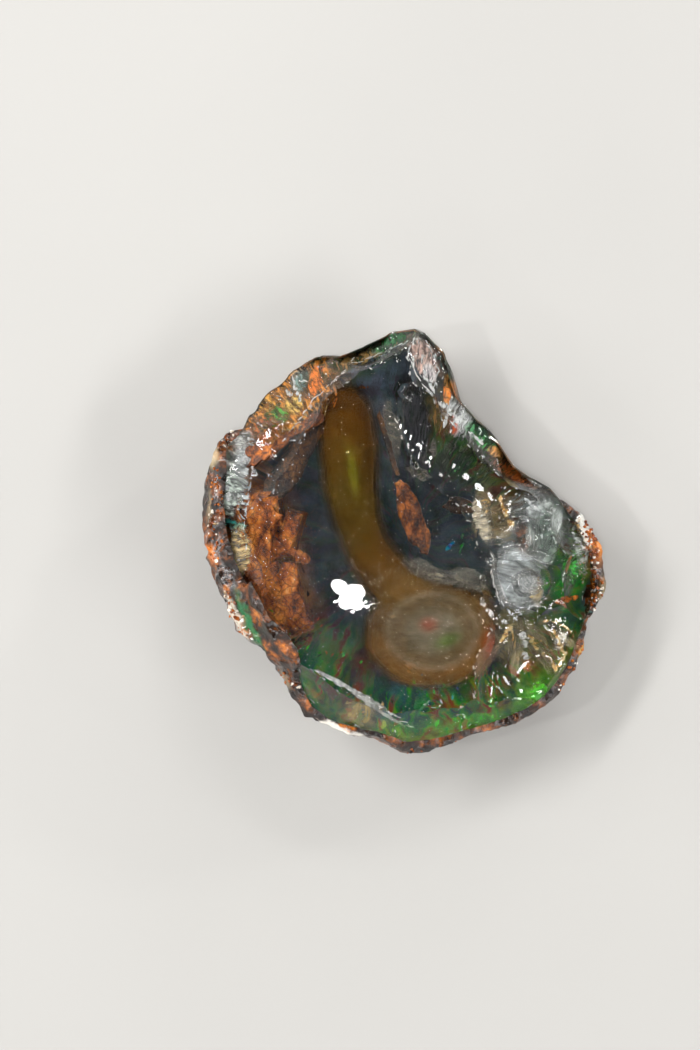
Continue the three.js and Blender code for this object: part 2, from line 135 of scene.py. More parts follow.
# Colours in the stone, seen through it: where each one lies, how far it reaches, how it is turned, how
# soft its edge is, how strong it is, and its colour.
STAINS = [
    ((-4.0, 4.0), (22, 22), 0, 0.5, 1.0, "3a4758"),  # smoky blue depth
    ((-3.4, 19.6), (3.6, 3.0), 0, 0.9, 0.9, "64748a"),  # milky blue haze by the cloud's head
    ((-10.5, 1.0), (3.2, 7.0), 0, 0.8, 0.6, "3a4a63"),
    ((-1.0, 3.0), (2.2, 6.0), 20, 0.8, 0.6, "3c4a5e"),
    ((1.4, 14.0), (2.6, 6.4), 10, 0.25, 1.0, "0c1219"),  # dark hollow
    ((7.4, 9.6), (6.4, 3.8), -30, 0.5, 0.95, "24401c"),  # moss green under the great scar
    ((6.0, 12.6), (2.4, 1.2), -30, 0.5, 0.8, "3c7a24"),
    ((12.4, 7.6), (4.0, 2.4), -20, 0.6, 0.8, "5c3a16"),
    ((4.6, 16.0), (2.2, 3.6), 0, 0.5, 0.9, "6e5c24"),
    ((3.6, 19.6), (1.6, 2.6), 0, 0.4, 0.9, "14302c"),
    ((-16.2, -1.2), (4.4, 8.6), 8, 0.4, 1.0, "c0701f"),  # rust at the left
    ((-13.4, -8.6), (3.4, 3.6), 30, 0.5, 0.9, "c4742a"),
    ((-11.6, -9.4), (2.2, 1.8), 30, 0.6, 0.8, "5a1c18"),
    ((-15.0, 12.0), (7.6, 2.0), 38, 0.4, 0.9, "9c5c24"),
    ((-14.4, 16.8), (8.4, 3.8), 38, 0.5, 0.95, "d09038"),  # amber fan
    ((-12.6, 19.4), (2.0, 1.6), 38, 0.4, 0.8, "7f9a90"),
    ((-15.6, 14.6), (1.8, 1.2), 38, 0.4, 0.9, "4f8a2c"),
    ((-20.0, 11.0), (3.0, 3.0), 30, 0.4, 0.9, "bcb8a8"),
    ((-21.4, 5.6), (1.8, 5.6), 0, 0.4, 0.9, "b4cabc"),  # mint and cream along the left rim
    ((-20.4, -1.6), (1.8, 2.8), 0, 0.4, 0.9, "d8bc8c"),
    ((-6.4, 21.6), (5.4, 2.2), 20, 0.6, 0.9, "2c5a2a"),
    ((-0.6, 25.0), (2.6, 1.2), 0, 0.5, 0.9, "1c5a30"),
    ((2.4, 22.6), (1.8, 2.6), 20, 0.4, 0.9, "a88274"),
    ((-9.6, -13.2), (2.6, 1.9), 30, 0.6, 0.9, "357c2c"),  # green flash at the lower left
    ((-13.6, -12.4), (4.6, 1.8), 130, 0.6, 0.9, "125c44"),
    ((-18.2, -8.2), (1.6, 4.6), 20, 0.5, 0.9, "1c7040"),
    ((-5.0, -15.0), (2.2, 2.8), 10, 0.8, 0.8, "743a20"),
    ((-6.6, -19.6), (8.0, 2.2), -28, 0.4, 1.0, "10644a"),  # green along the foot
    ((-5.2, -20.0), (2.6, 1.5), -28, 0.5, 0.9, "b09a5c"),
    ((1.0, -17.6), (6.4, 2.0), -8, 0.7, 0.8, "1a6478"),
    ((8.0, -19.4), (9.4, 2.7), 14, 0.4, 1.0, "2c7a20"),
    ((5.0, -21.8), (8.0, 1.6), 6, 0.5, 1.0, "a0b438"),
    ((15.0, -17.4), (5.4, 2.8), 42, 0.5, 1.0, "7cb42c"),
    ((9.6, -16.8), (2.8, 1.7), 0, 0.7, 0.8, "a8682a"),
    ((16.4, -12.2), (5.2, 3.6), 50, 0.6, 0.9, "9c8a54"),  # gold under the flutes
    ((11.8, -11.0), (2.2, 3.6), 0, 0.6, 0.9, "8c8054"),
    ((20.6, -8.4), (2.6, 2.6), 0, 0.5, 0.9, "16404c"),
    ((20.2, -3.4), (2.2, 3.6), 0, 0.4, 1.0, "22a82a"),
    ((22.0, 1.0), (1.6, 4.6), 0, 0.4, 0.9, "c88a48"),  # orange crumbs at the right rim
    ((14.6, -1.6), (4.2, 6.0), 0, 0.5, 0.9, "a4aaaa"),  # pale crackle
    ((17.4, 1.8), (2.4, 4.0), -10, 0.4, 0.9, "98a6a0"),
    ((10.4, 3.2), (2.2, 3.2), 0, 0.4, 0.9, "dcc48c"),
    ((11.8, 5.6), (2.2, 1.6), 0, 0.4, 0.9, "6a3a1c"),
]

# The brown cloud's colours, from its neck to the ring in its bulb: the same.
CLOUD = [
    ((-6.6, 5.0), (5, 6), 0, 0.8, 1.0, "5e481a"),
    ((3.0, -10.1), (9, 8), 0, 0.4, 1.0, "7e5e32"),
    ((3.0, -13.4), (7.4, 3.6), 0, 0.5, 0.7, "8e6434"),
    ((3.2, -10.4), (5.6, 4.7), 0, 0.1, 0.55, "928a76"),
    ((3.2, -10.4), (5.0, 4.1), 0, 0.1, 0.8, "745e3e"),
    ((3.2, -10.4), (3.4, 2.7), 0, 0.3, 1.0, "7e745e"),
    ((-6.3, 8.6), (0.5, 2.6), 8, 0.7, 0.6, "8a8a1c"),
    ((2.7, -9.6), (0.9, 0.7), 0, 0.9, 0.6, "a8341a"),
    ((5.0, -11.5), (1.3, 0.6), 20, 0.9, 0.7, "5c8428"),
    ((10.0, -11.9), (0.8, 1.4), 0, 0.9, 0.6, "b83a1a"),
]

# The pale crust of common opal on the rind's edge and the brightest of its rust, with painted wet
# highlights in its whitest patches: the same.
CRUST_AND_HIGHLIGHTS = [
    # The next row is a painted wet highlight on the left rim.
    ((-20.2, -9.6), (0.6, 3.4), 24, 0.5, 0.8, "e6dcc8"),
    ((-18.8, -9.4), (0.5, 3.6), 24, 0.5, 0.7, "1f7a48"),
    # A painted highlight on the wet right rim.
    ((21.9, 1.6), (0.5, 4.2), 4, 0.5, 0.8, "d8d6cc"),
    ((-23.8, 4.4), (0.4, 1.8), 0, 0.6, 0.6, "c8b48c"),
    ((-23.2, 10.4), (0.6, 1.2), 0, 0.6, 0.6, "c8b48c"),
    ((-15.6, -16.2), (1.6, 0.8), -34, 0.6, 0.6, "c8b48c"),
    ((23.8, 1.4), (0.9, 3.6), 0, 0.5, 0.8, "d8822c"),
    ((24.6, -6.0), (0.8, 2.0), 0, 0.6, 0.7, "d0b888"),
    ((22.4, -13.0), (0.8, 2.4), -20, 0.3, 0.7, "d8a850"),
    ((-23.8, -1.6), (0.9, 1.6), 0, 0.3, 0.8, "dc7c2c"),
    # A painted wet highlight along the foot's rim.
    ((-8.6, -22.4), (3.4, 0.5), -18, 0.4, 0.9, "f2ece0"),
]

# Where crumbs have grown on the rind's edge: how many of rust and of pale opal, round which place, how
# far they spread and how that is turned. The white of the pale crumbs is partly painted wet highlight.
CRUMBS = [
    ((150, 30), (22.8, 0.8), (0.8, 4.6), 4),
    ((10, 50), (21.4, -0.6), (0.5, 4.0), 4),
    ((30, 16), (23.6, -6.4), (0.8, 2.6), 0),
    ((30, 8), (21.0, -14.6), (0.8, 4.2), -30),
    ((50, 12), (-22.8, 3.0), (0.9, 6.4), 0),
    ((40, 20), (-20.0, -9.4), (0.9, 4.4), 24),
    ((24, 8), (-14.8, -16.0), (2.6, 0.7), -34),
    ((30, 0), (6.0, -24.6), (8.0, 0.7), 6),
    ((20, 8), (-21.0, 12.6), (1.2, 1.8), 30),
]

# Where the opal's own fire shows low down in the stone: the same, without a colour.
FIRE = [
    ((6.0, -18.6), (12, 3.6), 10, 0.5, 1.0),
    ((-8.4, -16.6), (8, 3.0), -30, 0.5, 0.75),
    ((-9.4, -12.6), (4, 3.2), 0, 0.7, 0.5),
    ((18.0, -10.0), (4, 5.6), 20, 0.6, 0.5),
    ((20.4, 0.6), (2.6, 5.0), 0, 0.6, 0.6),
    ((7.0, 10.0), (6, 3.6), -30, 0.7, 0.35),
    ((-19.0, -6.0), (2.6, 6.0), 10, 0.6, 0.5),
    ((-2.0, 2.0), (16, 16), 0, 0.6, 0.1),
]

# The film of fine cracks just under the broken surface: the same again, where a greater strength is a
# film with fewer holes. The rows marked below as painted highlights stand for bright facets, ridges and
# wet rims catching the light, and the one marked as painted shadow for a shadow among the gold flutes.
FILM = [
    ((-14.4, 17.0), (9.2, 3.8), 38, 0.3, 0.66, "e89c3e"),  # amber fan
    ((-17.4, 13.2), (4.0, 1.6), 38, 0.3, 0.6, "a8602a"),
    ((-12.2, 19.6), (1.4, 1.7), 20, 0.4, 0.4, "8fa8a0"),
    ((-10.8, 19.7), (0.9, 2.2), -14, 0.3, 0.9, "e8842c"),
    ((-13.4, 16.8), (1.1, 1.2), 30, 0.3, 0.85, "f6cc70"),
    ((-16.9, 17.0), (1.0, 1.5), 30, 0.3, 0.8, "f0b858"),
    ((-15.0, 15.6), (0.8, 1.2), 30, 0.3, 0.7, "5fae3c"),
    # The next two rows are painted highlights on the white facets at the upper left.
    ((-19.6, 12.6), (1.3, 0.9), 30, 0.3, 0.95, "eef0ea"),
    ((-19.6, 10.2), (2.0, 1.6), 40, 0.3, 0.9, "f2f4f0"),
    ((-21.3, 6.2), (1.9, 3.2), 0, 0.3, 0.9, "dce8dc"),  # mint flakes at the left
    ((-22.6, 3.8), (0.9, 2.2), 0, 0.3, 0.8, "f4e8e0"),
    ((-20.6, 2.4), (1.8, 0.6), -10, 0.3, 0.8, "2f857c"),
    ((-19.8, -1.0), (1.5, 2.9), 0, 0.3, 0.8, "e6cc94"),
    ((-22.0, -1.4), (1.2, 1.1), 0, 0.3, 0.95, "dc7c2c"),
    ((-18.2, -5.6), (1.7, 2.8), 6, 0.3, 0.6, "84401c"),
    # Painted highlight: the wet glint on the left rim.
    ((-19.8, -8.8), (1.0, 4.6), 22, 0.3, 0.9, "f6f6f2"),
    ((-17.6, -9.8), (0.9, 3.6), 22, 0.4, 0.6, "1f9450"),
    ((-14.6, -14.8), (2.6, 1.3), -34, 0.3, 0.7, "bc7430"),
    ((-12.6, -17.6), (3.2, 1.8), -38, 0.6, 0.56, "08784a"),  # the foot
    ((-7.0, -20.4), (4.4, 1.4), -28, 0.6, 0.54, "16702c"),
    ((-1.4, -22.2), (3.4, 1.0), -18, 0.6, 0.62, "94b428"),
    ((-10.4, -18.2), (1.6, 0.6), -50, 0.5, 0.6, "b06a24"),
    ((-5.2, -20.2), (2.8, 1.5), -28, 0.4, 0.6, "d0b878"),
    # The next two rows are painted highlights: the pale double ridge line on the foot.
    ((-6.4, -17.4), (5.2, 0.36), -29, 0.4, 0.85, "c8cac4"),
    ((-3.4, -19.6), (4.8, 0.3), -34, 0.4, 0.8, "c8cac4"),
    ((6.4, -21.4), (7.2, 1.2), 6, 0.6, 0.6, "30b41c"),
    ((1.6, -19.4), (0.9, 1.8), -10, 0.6, 0.6, "14c43c"),
    ((14.6, -18.6), (3.8, 1.3), 42, 0.6, 0.62, "5cbc1c"),
    ((16.4, -18.0), (1.4, 1.0), 40, 0.6, 0.8, "58e02c"),
    ((8.6, -18.0), (2.6, 0.9), 16, 0.6, 0.56, "8a6420"),
    ((3.6, -17.4), (4.4, 0.9), 0, 0.6, 0.5, "0c4c50"),
    ((11.4, -11.4), (1.5, 3.6), 0, 0.6, 0.5, "7c7048"),
    ((-3.4, 23.4), (6.0, 1.8), 22, 0.3, 0.85, "1e3224"),  # the top
    ((-5.6, 22.2), (3.0, 0.8), 22, 0.4, 0.7, "8a6c3c"),
    ((-2.2, 23.9), (1.6, 0.6), 22, 0.4, 0.7, "2c7a3c"),
    ((-0.6, 24.9), (1.9, 0.8), 10, 0.4, 0.8, "1f6e38"),
    ((2.3, 22.4), (1.6, 2.7), 22, 0.2, 0.9, "e0c0b2"),
    # Painted highlight on a bright facet at the top.
    ((3.0, 20.6), (0.8, 1.3), 22, 0.3, 0.8, "f4ecea"),
    ((4.7, 22.0), (0.8, 1.3), 20, 0.3, 0.8, "16443e"),
    ((5.3, 19.4), (0.8, 1.6), 10, 0.3, 0.95, "f4b466"),
    # Painted highlight on the bright facets of the top-right break.
    ((6.4, 15.2), (1.9, 3.3), 26, 0.3, 0.95, "f6f8f6"),
    ((5.4, 14.4), (0.8, 1.4), 26, 0.3, 0.9, "c4501c"),
    ((8.8, 13.2), (1.7, 1.4), -30, 0.3, 0.6, "4a9a5c"),
    # Painted highlight on a bright facet at the top right.
    ((8.4, 12.4), (1.0, 0.7), -30, 0.3, 0.9, "f2f6f2"),
    ((1.3, 14.4), (1.7, 4.8), 6, 0.2, 0.95, "070b10"),  # the dark hollow and the moss beside it
    ((7.4, 9.2), (4.4, 2.8), -30, 0.4, 0.7, "1e2c12"),
    ((4.2, 15.0), (1.2, 2.6), 14, 0.3, 0.7, "6a4c20"),
    ((12.8, 9.4), (6.6, 2.0), -30, 0.3, 0.9, "24200f"),
    ((9.6, 12.2), (1.6, 0.8), -30, 0.3, 0.8, "2f8a3c"),
    ((13.6, 8.2), (2.8, 0.9), -30, 0.5, 0.85, "a8561c"),
    ((16.8, 6.6), (1.6, 0.7), -36, 0.5, 0.85, "4a3416"),
    # Painted highlight along the upper right edge.
    ((15.8, 8.0), (1.8, 0.8), -30, 0.3, 0.8, "dfe6e0"),
    ((11.0, 11.0), (1.0, 0.6), -30, 0.3, 0.8, "e8a85c"),
    ((11.4, 3.2), (1.8, 3.4), -20, 0.4, 0.75, "5c4a1c"),  # the crushed bowl
    ((14.6, 4.6), (2.2, 1.8), 20, 0.4, 0.6, "a4a8a4"),
    # Painted highlight at the top of the crushed bowl.
    ((16.4, 3.9), (1.8, 1.0), 20, 0.4, 0.9, "eef2f0"),
    ((17.2, 0.8), (1.9, 4.2), -8, 0.4, 0.66, "7c8c80"),
    ((13.8, -4.2), (3.2, 4.6), 20, 0.4, 0.78, "d4dada"),
    ((14.4, 1.0), (1.2, 2.2), 20, 0.5, 0.7, "8c6a58"),
    ((9.0, 2.6), (0.9, 2.8), 14, 0.3, 0.8, "ece0c4"),
    ((15.6, -5.2), (0.8, 1.6), 24, 0.9, 0.62, "f0c870"),
    ((19.9, -0.8), (1.3, 4.6), 0, 0.4, 0.85, "10240f"),
    ((20.2, -3.2), (1.1, 1.5), 0, 0.8, 0.8, "24c42c"),
    ((19.6, -6.8), (1.8, 0.5), 10, 0.3, 0.8, "e47824"),
    # Painted highlight on the wet right rim.
    ((21.6, 1.0), (1.1, 4.6), 4, 0.3, 0.7, "e2e8e2"),
    ((22.8, 0.6), (1.0, 4.0), 4, 0.3, 0.95, "e08c38"),
    ((23.6, -6.0), (1.2, 2.4), 0, 0.3, 0.8, "ecdcb4"),
    ((16.8, -12.4), (4.8, 3.2), 40, 0.6, 0.5, "8c7c4c"),  # gold flutes
    # Painted shadow among the gold flutes.
    ((17.8, -9.9), (1.1, 0.8), -30, 0.5, 0.8, "1c1814"),
    # Painted highlight: the bright white glint in the gold flutes.
    ((18.8, -11.8), (0.8, 1.2), -30, 0.3, 0.9, "faf4e4"),
    ((15.0, -14.8), (1.1, 0.8), 30, 0.9, 0.7, "c8782c"),
]

# Where that film is smooth and even: the crushed bowl and the foot.
CALM = [
    ((14.0, -1.6), (5.4, 8.6), 8, 0.4, 1.0),
    ((-7.0, -19.4), (9.6, 3.2), -32, 0.4, 1.0),
    ((6.0, -20.4), (10.4, 3.0), 6, 0.4, 1.0),
    ((16.0, -17.4), (4.4, 2.6), 42, 0.4, 1.0),
]

# Where the opal's skin is smooth and shiny, not rippled: the window, the great scar and the foot. Each
# is a place, its reach, its turn and how soft its edge is.
SMOOTH = [
    ((-4.2, 1.0), (13.0, 16.6), 8, 0.12),
    ((6.2, 9.8), (7.4, 5.4), -30, 0.3),
    ((-7.0, -19.0), (10.0, 4.0), -32, 0.3),
    ((6.0, -19.4), (11.0, 4.6), 6, 0.3),
    ((15.4, -16.6), (5.6, 3.4), 42, 0.3),
    ((8.6, 5.4), (4.6, 2.4), -20, 0.3),
]

# Small breaks in the stone that flash one colour. The silver ones are painted highlights where edges and
# facets catch the light, with tiny painted glints round the spark on the window, and the gold ones are
# partly painted glints. For each colour: how many lie round a place and how far they spread, how deep
# they lie under the surface, how long they are, and how much they lean.
FLASHES = {
    # Painted highlights: near-white flakes where the stone catches the light.
    "silver": [
        (26, (-21.2, 6.6), (1.7, 5.6), (0.3, 1.0), (0.4, 1.5), 14),
        (14, (-20.0, 11.4), (2.2, 2.0), (0.3, 1.0), (0.4, 1.3), 14),
        (22, (22.0, 0.8), (1.4, 4.2), (0.3, 0.9), (0.3, 1.1), 16),
        (12, (3.0, 21.4), (1.2, 2.8), (0.3, 0.8), (0.4, 1.3), 12),
        (18, (6.2, 15.8), (1.7, 2.2), (0.3, 0.8), (0.4, 1.5), 12),
        (10, (9.0, 13.2), (1.4, 1.4), (0.3, 0.8), (0.3, 0.8), 14),
        (20, (14.0, -3.0), (3.6, 5.0), (0.4, 2.4), (0.2, 0.9), 24),
        (16, (16.4, 4.0), (2.0, 1.4), (0.3, 1.2), (0.4, 1.4), 16),
        (12, (-19.6, -8.6), (1.2, 4.0), (0.3, 0.8), (0.3, 1.0), 14),
        (10, (-14.4, -15.2), (2.0, 1.4), (0.3, 0.8), (0.3, 0.9), 14),
        (8, (-13.4, 18.0), (3.0, 2.2), (0.3, 1.0), (0.4, 1.2), 14),
        (50, (-1.6, -3.0), (3.6, 1.6), (0.2, 0.6), (0.04, 0.1), 30),
        (24, (2.4, -11.0), (7.0, 5.0), (0.2, 0.5), (0.03, 0.07), 30),
    ],
    # Partly the stone's gold, partly painted glints.
    "gold": [
        (14, (16.2, -12.4), (4.4, 3.2), (0.5, 2.6), (0.3, 1.0), 28),
        (18, (10.8, 3.6), (2.2, 2.6), (0.4, 2.0), (0.3, 0.9), 28),
        (34, (-14.6, 16.6), (4.4, 2.4), (0.4, 2.0), (0.4, 1.6), 28),
        (12, (22.6, -6.4), (1.0, 4.0), (0.3, 0.9), (0.3, 0.8), 20),
        (6, (-0.6, 24.0), (0.7, 0.9), (0.3, 0.8), (0.3, 0.8), 20),
        (8, (-4.8, -20.0), (2.4, 1.4), (0.4, 1.6), (0.4, 1.2), 20),
    ],
    "orange": [
        (12, (-12.0, 18.2), (3.2, 2.2), (0.4, 1.6), (0.4, 1.4), 20),
        (22, (22.6, 0.6), (1.0, 3.8), (0.4, 1.0), (0.3, 0.8), 20),
        (6, (5.2, 19.0), (0.6, 1.4), (0.3, 0.9), (0.4, 0.9), 16),
        (3, (15.0, -14.6), (0.9, 0.9), (0.4, 1.2), (0.4, 0.8), 20),
        (8, (-22.0, -1.6), (0.9, 1.6), (0.3, 0.9), (0.4, 0.9), 16),
        (8, (-18.0, 12.6), (2.4, 1.2), (0.4, 1.6), (0.4, 1.4), 20),
    ],
    "green": [
        (26, (6.0, -18.6), (9.0, 2.2), (1.0, 4.0), (0.2, 0.8), 24),
        (12, (-8.6, -15.0), (3.6, 2.4), (1.0, 4.0), (0.2, 0.7), 24),
        (8, (7.4, 9.4), (4.4, 2.6), (0.6, 3.0), (0.15, 0.4), 24),
        (10, (-18.4, -8.0), (1.2, 4.0), (0.5, 2.0), (0.3, 0.7), 24),
        (6, (-15.6, 15.4), (2.0, 1.2), (0.4, 1.6), (0.3, 0.9), 24),
        (10, (20.2, -3.2), (1.2, 2.8), (0.4, 2.0), (0.3, 0.9), 20),
        (6, (-0.6, 25.0), (1.6, 0.5), (0.3, 0.9), (0.3, 0.8), 20),
        (10, (-14.4, -13.0), (3.0, 1.6), (0.5, 2.0), (0.3, 0.8), 24),
    ],
    "red": [
        (8, (-6.0, -14.0), (4.0, 3.0), (1.5, 4.0), (0.15, 0.4), 24),
        (8, (14.6, -0.4), (2.4, 2.4), (0.6, 2.0), (0.15, 0.35), 24),
        (6, (-11.4, -9.6), (2.4, 2.0), (1.5, 4.0), (0.2, 0.5), 24),
    ],
    "blue": [
        (8, (2.0, -17.4), (7.0, 1.6), (1.0, 4.0), (0.15, 0.4), 24),
        (4, (-2.0, 0.0), (4.0, 6.0), (2.0, 4.0), (0.1, 0.2), 24),
    ],
}

# Bright lines where a ridge or a crack catches the light: the silver ones are painted highlights, the
# gold ones partly painted glints, and the green and blue ones streaks of fire. For each colour: the
# points that each line joins, how wide it is and how deep it lies.
LINES = {
    "silver": [
        (((-13.8, 20.2), (-13.2, 18.6), (-12.6, 17.5)), 0.34, 0.3),
        (((-7.2, 21.4), (-11.4, 17.0), (-14.6, 12.8), (-17.4, 9.8)), 0.14, 0.4),
        (((1.0, 25.0), (0.4, 22.6), (1.6, 20.4), (3.2, 19.6), (4.2, 21.0), (3.4, 23.6),
          (1.0, 25.0)), 0.16, 0.3),
        (((-20.4, 12.8), (-19.4, 11.0), (-20.2, 9.4)), 0.8, 0.2),
        (((-21.8, 8.2), (-21.2, 5.0)), 0.7, 0.2),
        (((21.6, 4.2), (22.2, 1.2), (22.4, -2.2)), 0.6, 0.2),
        (((4.6, 17.2), (5.6, 15.6), (6.8, 14.2)), 0.9, 0.2),
        (((8.0, 13.6), (9.6, 12.0)), 0.5, 0.2),
        (((14.6, 5.2), (16.8, 3.6), (18.4, 4.0)), 0.5, 0.2),
        (((-23.0, 12.4), (-22.6, 10.4)), 0.24, 0.3),
        (((-6.3, 21.9), (-2.6, 23.4), (0.4, 24.6)), 0.16, 0.3),
        (((0.5, 23.2), (1.8, 20.2), (4.0, 17.2), (6.4, 13.8)), 0.26, 0.3),
        (((-18.8, 7.6), (-18.9, 5.0), (-19.6, 2.0)), 0.2, 0.4),
        (((-23.5, 5.8), (-23.1, 3.0)), 0.5, 0.3),
        (((-21.4, -4.6), (-20.2, -8.4), (-17.8, -12.6)), 0.6, 0.25),
        (((-10.8, -15.3), (-5.6, -18.0), (1.0, -22.2)), 0.12, 0.4),
        (((-11.4, -20.6), (-8.0, -22.2), (-4.0, -23.2)), 0.42, 0.25),
        (((10.6, -3.4), (11.4, -6.4), (13.6, -9.2)), 0.2, 0.6),
        (((9.0, -6.2), (10.8, -8.8)), 0.5, 0.6),
        (((14.2, -10.2), (14.5, -12.2), (14.8, -14.0)), 0.7, 0.4),
        (((18.3, -11.2), (18.7, -12.2)), 0.7, 0.25),
    ],
    "gold": [
        (((12.6, -10.0), (11.6, -11.6)), 0.5, 0.3),
        (((13.0, -10.6), (13.2, -12.4), (13.9, -14.2)), 0.28, 0.3),
        (((15.2, -11.4), (16.0, -12.8), (17.4, -13.8), (18.6, -15.2)), 0.6, 0.3),
        (((18.0, -10.2), (18.8, -11.8), (19.4, -13.6)), 0.6, 0.3),
        (((16.6, -9.2), (19.2, -9.8), (21.0, -11.4)), 0.26, 0.3),
        (((19.6, -12.8), (19.0, -15.0)), 0.5, 0.3),
        (((16.2, -4.4), (15.6, -6.0), (15.0, -6.8)), 0.5, 0.3),
        (((11.6, 5.4), (12.4, 3.6), (13.0, 2.0)), 0.7, 0.4),
    ],
    "green": [
        (((6.9, -1.0), (7.3, 1.4)), 0.3, 2.6),
    ],
    "blue": [
        (((5.3, -0.3), (5.8, 0.1)), 0.5, 2.6),
    ],
}

# The lamps that make the wet white spark on the window: their places, sizes and power.
SPARKS = [
    (-0.0330, -0.0330, 0.050, 0.060, 0.5),
    (-0.0150, -0.0560, 0.026, 0.022, 0.1),
    (-0.0560, -0.0120, 0.024, 0.030, 0.12),
    (0.0060, -0.0620, 0.009, 0.006, 0.02),
    (0.0010, -0.0500, 0.005, 0.005, 0.01),
    (0.0140, -0.0590, 0.005, 0.004, 0.01),
    (-0.0260, -0.0700, 0.008, 0.006, 0.015),
    (-0.0660, -0.0400, 0.006, 0.008, 0.015),
    (0.0220, -0.0680, 0.004, 0.003, 0.008),
]

# ---- Small tools --------------------------------------------------------------------------------


def deselect():
    if bpy.context.mode != "OBJECT":
        bpy.ops.object.mode_set(mode="OBJECT")
    bpy.ops.object.select_all(action="DESELECT")


def only(piece):
    deselect()
    piece.select_set(True)
    bpy.context.view_layer.objects.active = piece


def settle(piece):
    """Applies a piece's place, so that it sits in its mesh."""
    only(piece)
    bpy.ops.object.transform_apply(location=True, rotation=True, scale=True)


def apply(piece, kind, **settings):
    """Adds one modifier, sets it and applies it."""
    only(piece)
    modifier = piece.modifiers.new(kind.lower(), kind)
    for key, value in settings.items():
        setattr(modifier, key, value)
    bpy.ops.object.modifier_apply(modifier=modifier.name)


def joined(pieces):
    """Joins pieces into the first one."""
    deselect()
    for piece in pieces:
        piece.select_set(True)
    bpy.context.view_layer.objects.active = pieces[0]
    bpy.ops.object.join()
    return pieces[0]


def finished(piece, name, materials, smooth=40):
    """Names a piece, gives it its materials and tells the frame what it is part of."""
    piece.name = name
    piece.data.name = name
    if materials:
        piece.data.materials.clear()
        for material in materials:
            piece.data.materials.append(material)
    only(piece)
    bpy.ops.object.shade_smooth_by_angle(angle=math.radians(smooth))
    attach(piece, "root")


def new_object(name, data):
    """A new object in the scene."""
    piece = bpy.data.objects.new(name, data)
    bpy.context.scene.collection.objects.link(piece)
    return piece


def edited(piece, operator, **settings):
    """Runs one operator of the edit mode on the whole of a piece's mesh."""
    only(piece)
    bpy.ops.object.mode_set(mode="EDIT")
    bpy.ops.mesh.select_all(action="SELECT")
    operator(**settings)
    deselect()


def ball(detail, radius):
    """A ball round the origin, with its radius in millimetres."""
    deselect()
    bpy.ops.mesh.primitive_ico_sphere_add(subdivisions=detail, radius=radius * MM, calc_uvs=False)
    return bpy.context.object


def copy_of(node, name):
    """A new object with a merged copy of a CAD node's mesh."""
    piece = new_object(name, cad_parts[node].data.copy())
    only(piece)
    if piece.data.has_custom_normals:
        bpy.ops.mesh.customdata_custom_splitnormals_clear()
    edited(piece, bpy.ops.mesh.remove_doubles, threshold=0.002 * MM)
    return piece


def delete_faces(piece, unwanted):
    """Deletes the faces that are unwanted."""
    only(piece)
    bpy.ops.object.mode_set(mode="EDIT")
    bpy.ops.mesh.select_all(action="DESELECT")
    bpy.ops.object.mode_set(mode="OBJECT")
    for face in piece.data.polygons:
        face.select = unwanted(face)
    bpy.ops.object.mode_set(mode="EDIT")
    bpy.ops.mesh.delete(type="FACE")
    deselect()


def surface_of(piece):
    """A piece's surface, to find the nearest place on it."""
    mesh = piece.data
    return BVHTree.FromPolygons([v.co for v in mesh.vertices], [p.vertices for p in mesh.polygons])


def clouds(size, depth=2):
    """Soft noise for a Displace modifier, with lumps of the given size in millimetres."""
    texture = bpy.data.textures.new("lumps", "CLOUDS")
    texture.noise_scale = size * MM
    texture.noise_depth = depth
    return texture


def lumpy(piece, size, height, middle=0.5, depth=2, **settings):
    apply(piece, "DISPLACE", texture=clouds(size, depth), texture_coords="LOCAL",
          strength=height * MM, mid_level=middle, **settings)


def keep_inside(piece):
    """Holds a roughened piece within the solid model's box."""
    low, high = cad_box
    for vertex in piece.data.vertices:
        vertex.co = [min(max(c, a), b) for c, a, b in zip(vertex.co, low, high)]


def in_frame(place):
    """A drawn place, as the frame has it."""
    return (Vector(place) + DRAWN) * MM


def facing(out, along):
    """A turn that points z the way out, and x along."""
    side = out.cross(along).normalized()
    return Matrix((side.cross(out), side, out)).transposed().to_4x4()


def within_oval(reach):
    """A place by chance, within an oval round the origin."""
    angle, out = random.uniform(0, math.tau), math.sqrt(random.random())
    return reach[0] * out * math.cos(angle), reach[1] * out * math.sin(angle)


def picked_apart(places, count, apart):
    """Picks places by chance that lie clear of one another. A place begins with its middle."""
    random.shuffle(places)
    taken = []
    for place in places:
        if len(taken) == count:
            break
        if all((place[0] - other[0]).length >= apart * MM for other in taken):
            taken.append(place)
    return taken


def dome_height(x, y):
    flat = DOME["radius"] ** 2 - (x - DOME["x"]) ** 2 - (y - DOME["y"]) ** 2
    return DOME["top"] - DOME["radius"] + math.sqrt(flat)


# ---- Materials ----------------------------------------------------------------------------------


def linear(colour):
    """An sRGB hex colour such as "8a5a2b" as a linear RGBA."""
    parts = [int(colour[i : i + 2], 16) / 255 for i in (0, 2, 4)]
    return (*[c / 12.92 if c <= 0.04045 else ((c + 0.055) / 1.055) ** 2.4 for c in parts], 1.0)


def add(tree, kind, inputs=None, stops=(), **settings):
    """Adds a node with its settings, its links and its colour stops. An input is a value, another node's
    output, or another node, which stands for its first output."""
    node = tree.nodes.new("ShaderNode" + kind)
    for key, value in settings.items():
        setattr(node, key, value)
    for key, value in (inputs or {}).items():
        if isinstance(value, bpy.types.Node):
            value = value.outputs[0]
        if isinstance(value, bpy.types.NodeSocket):
            tree.links.new(value, node.inputs[key])
        else:
            node.inputs[key].default_value = value
    if stops:
        ramp = node.color_ramp.elements
        for stop, (position, colour) in zip(ramp, (stops[0], stops[-1])):
            stop.position, stop.color = position, linear(colour)
        for position, colour in stops[1:-1]:
            ramp.new(position).color = linear(colour)
    return node


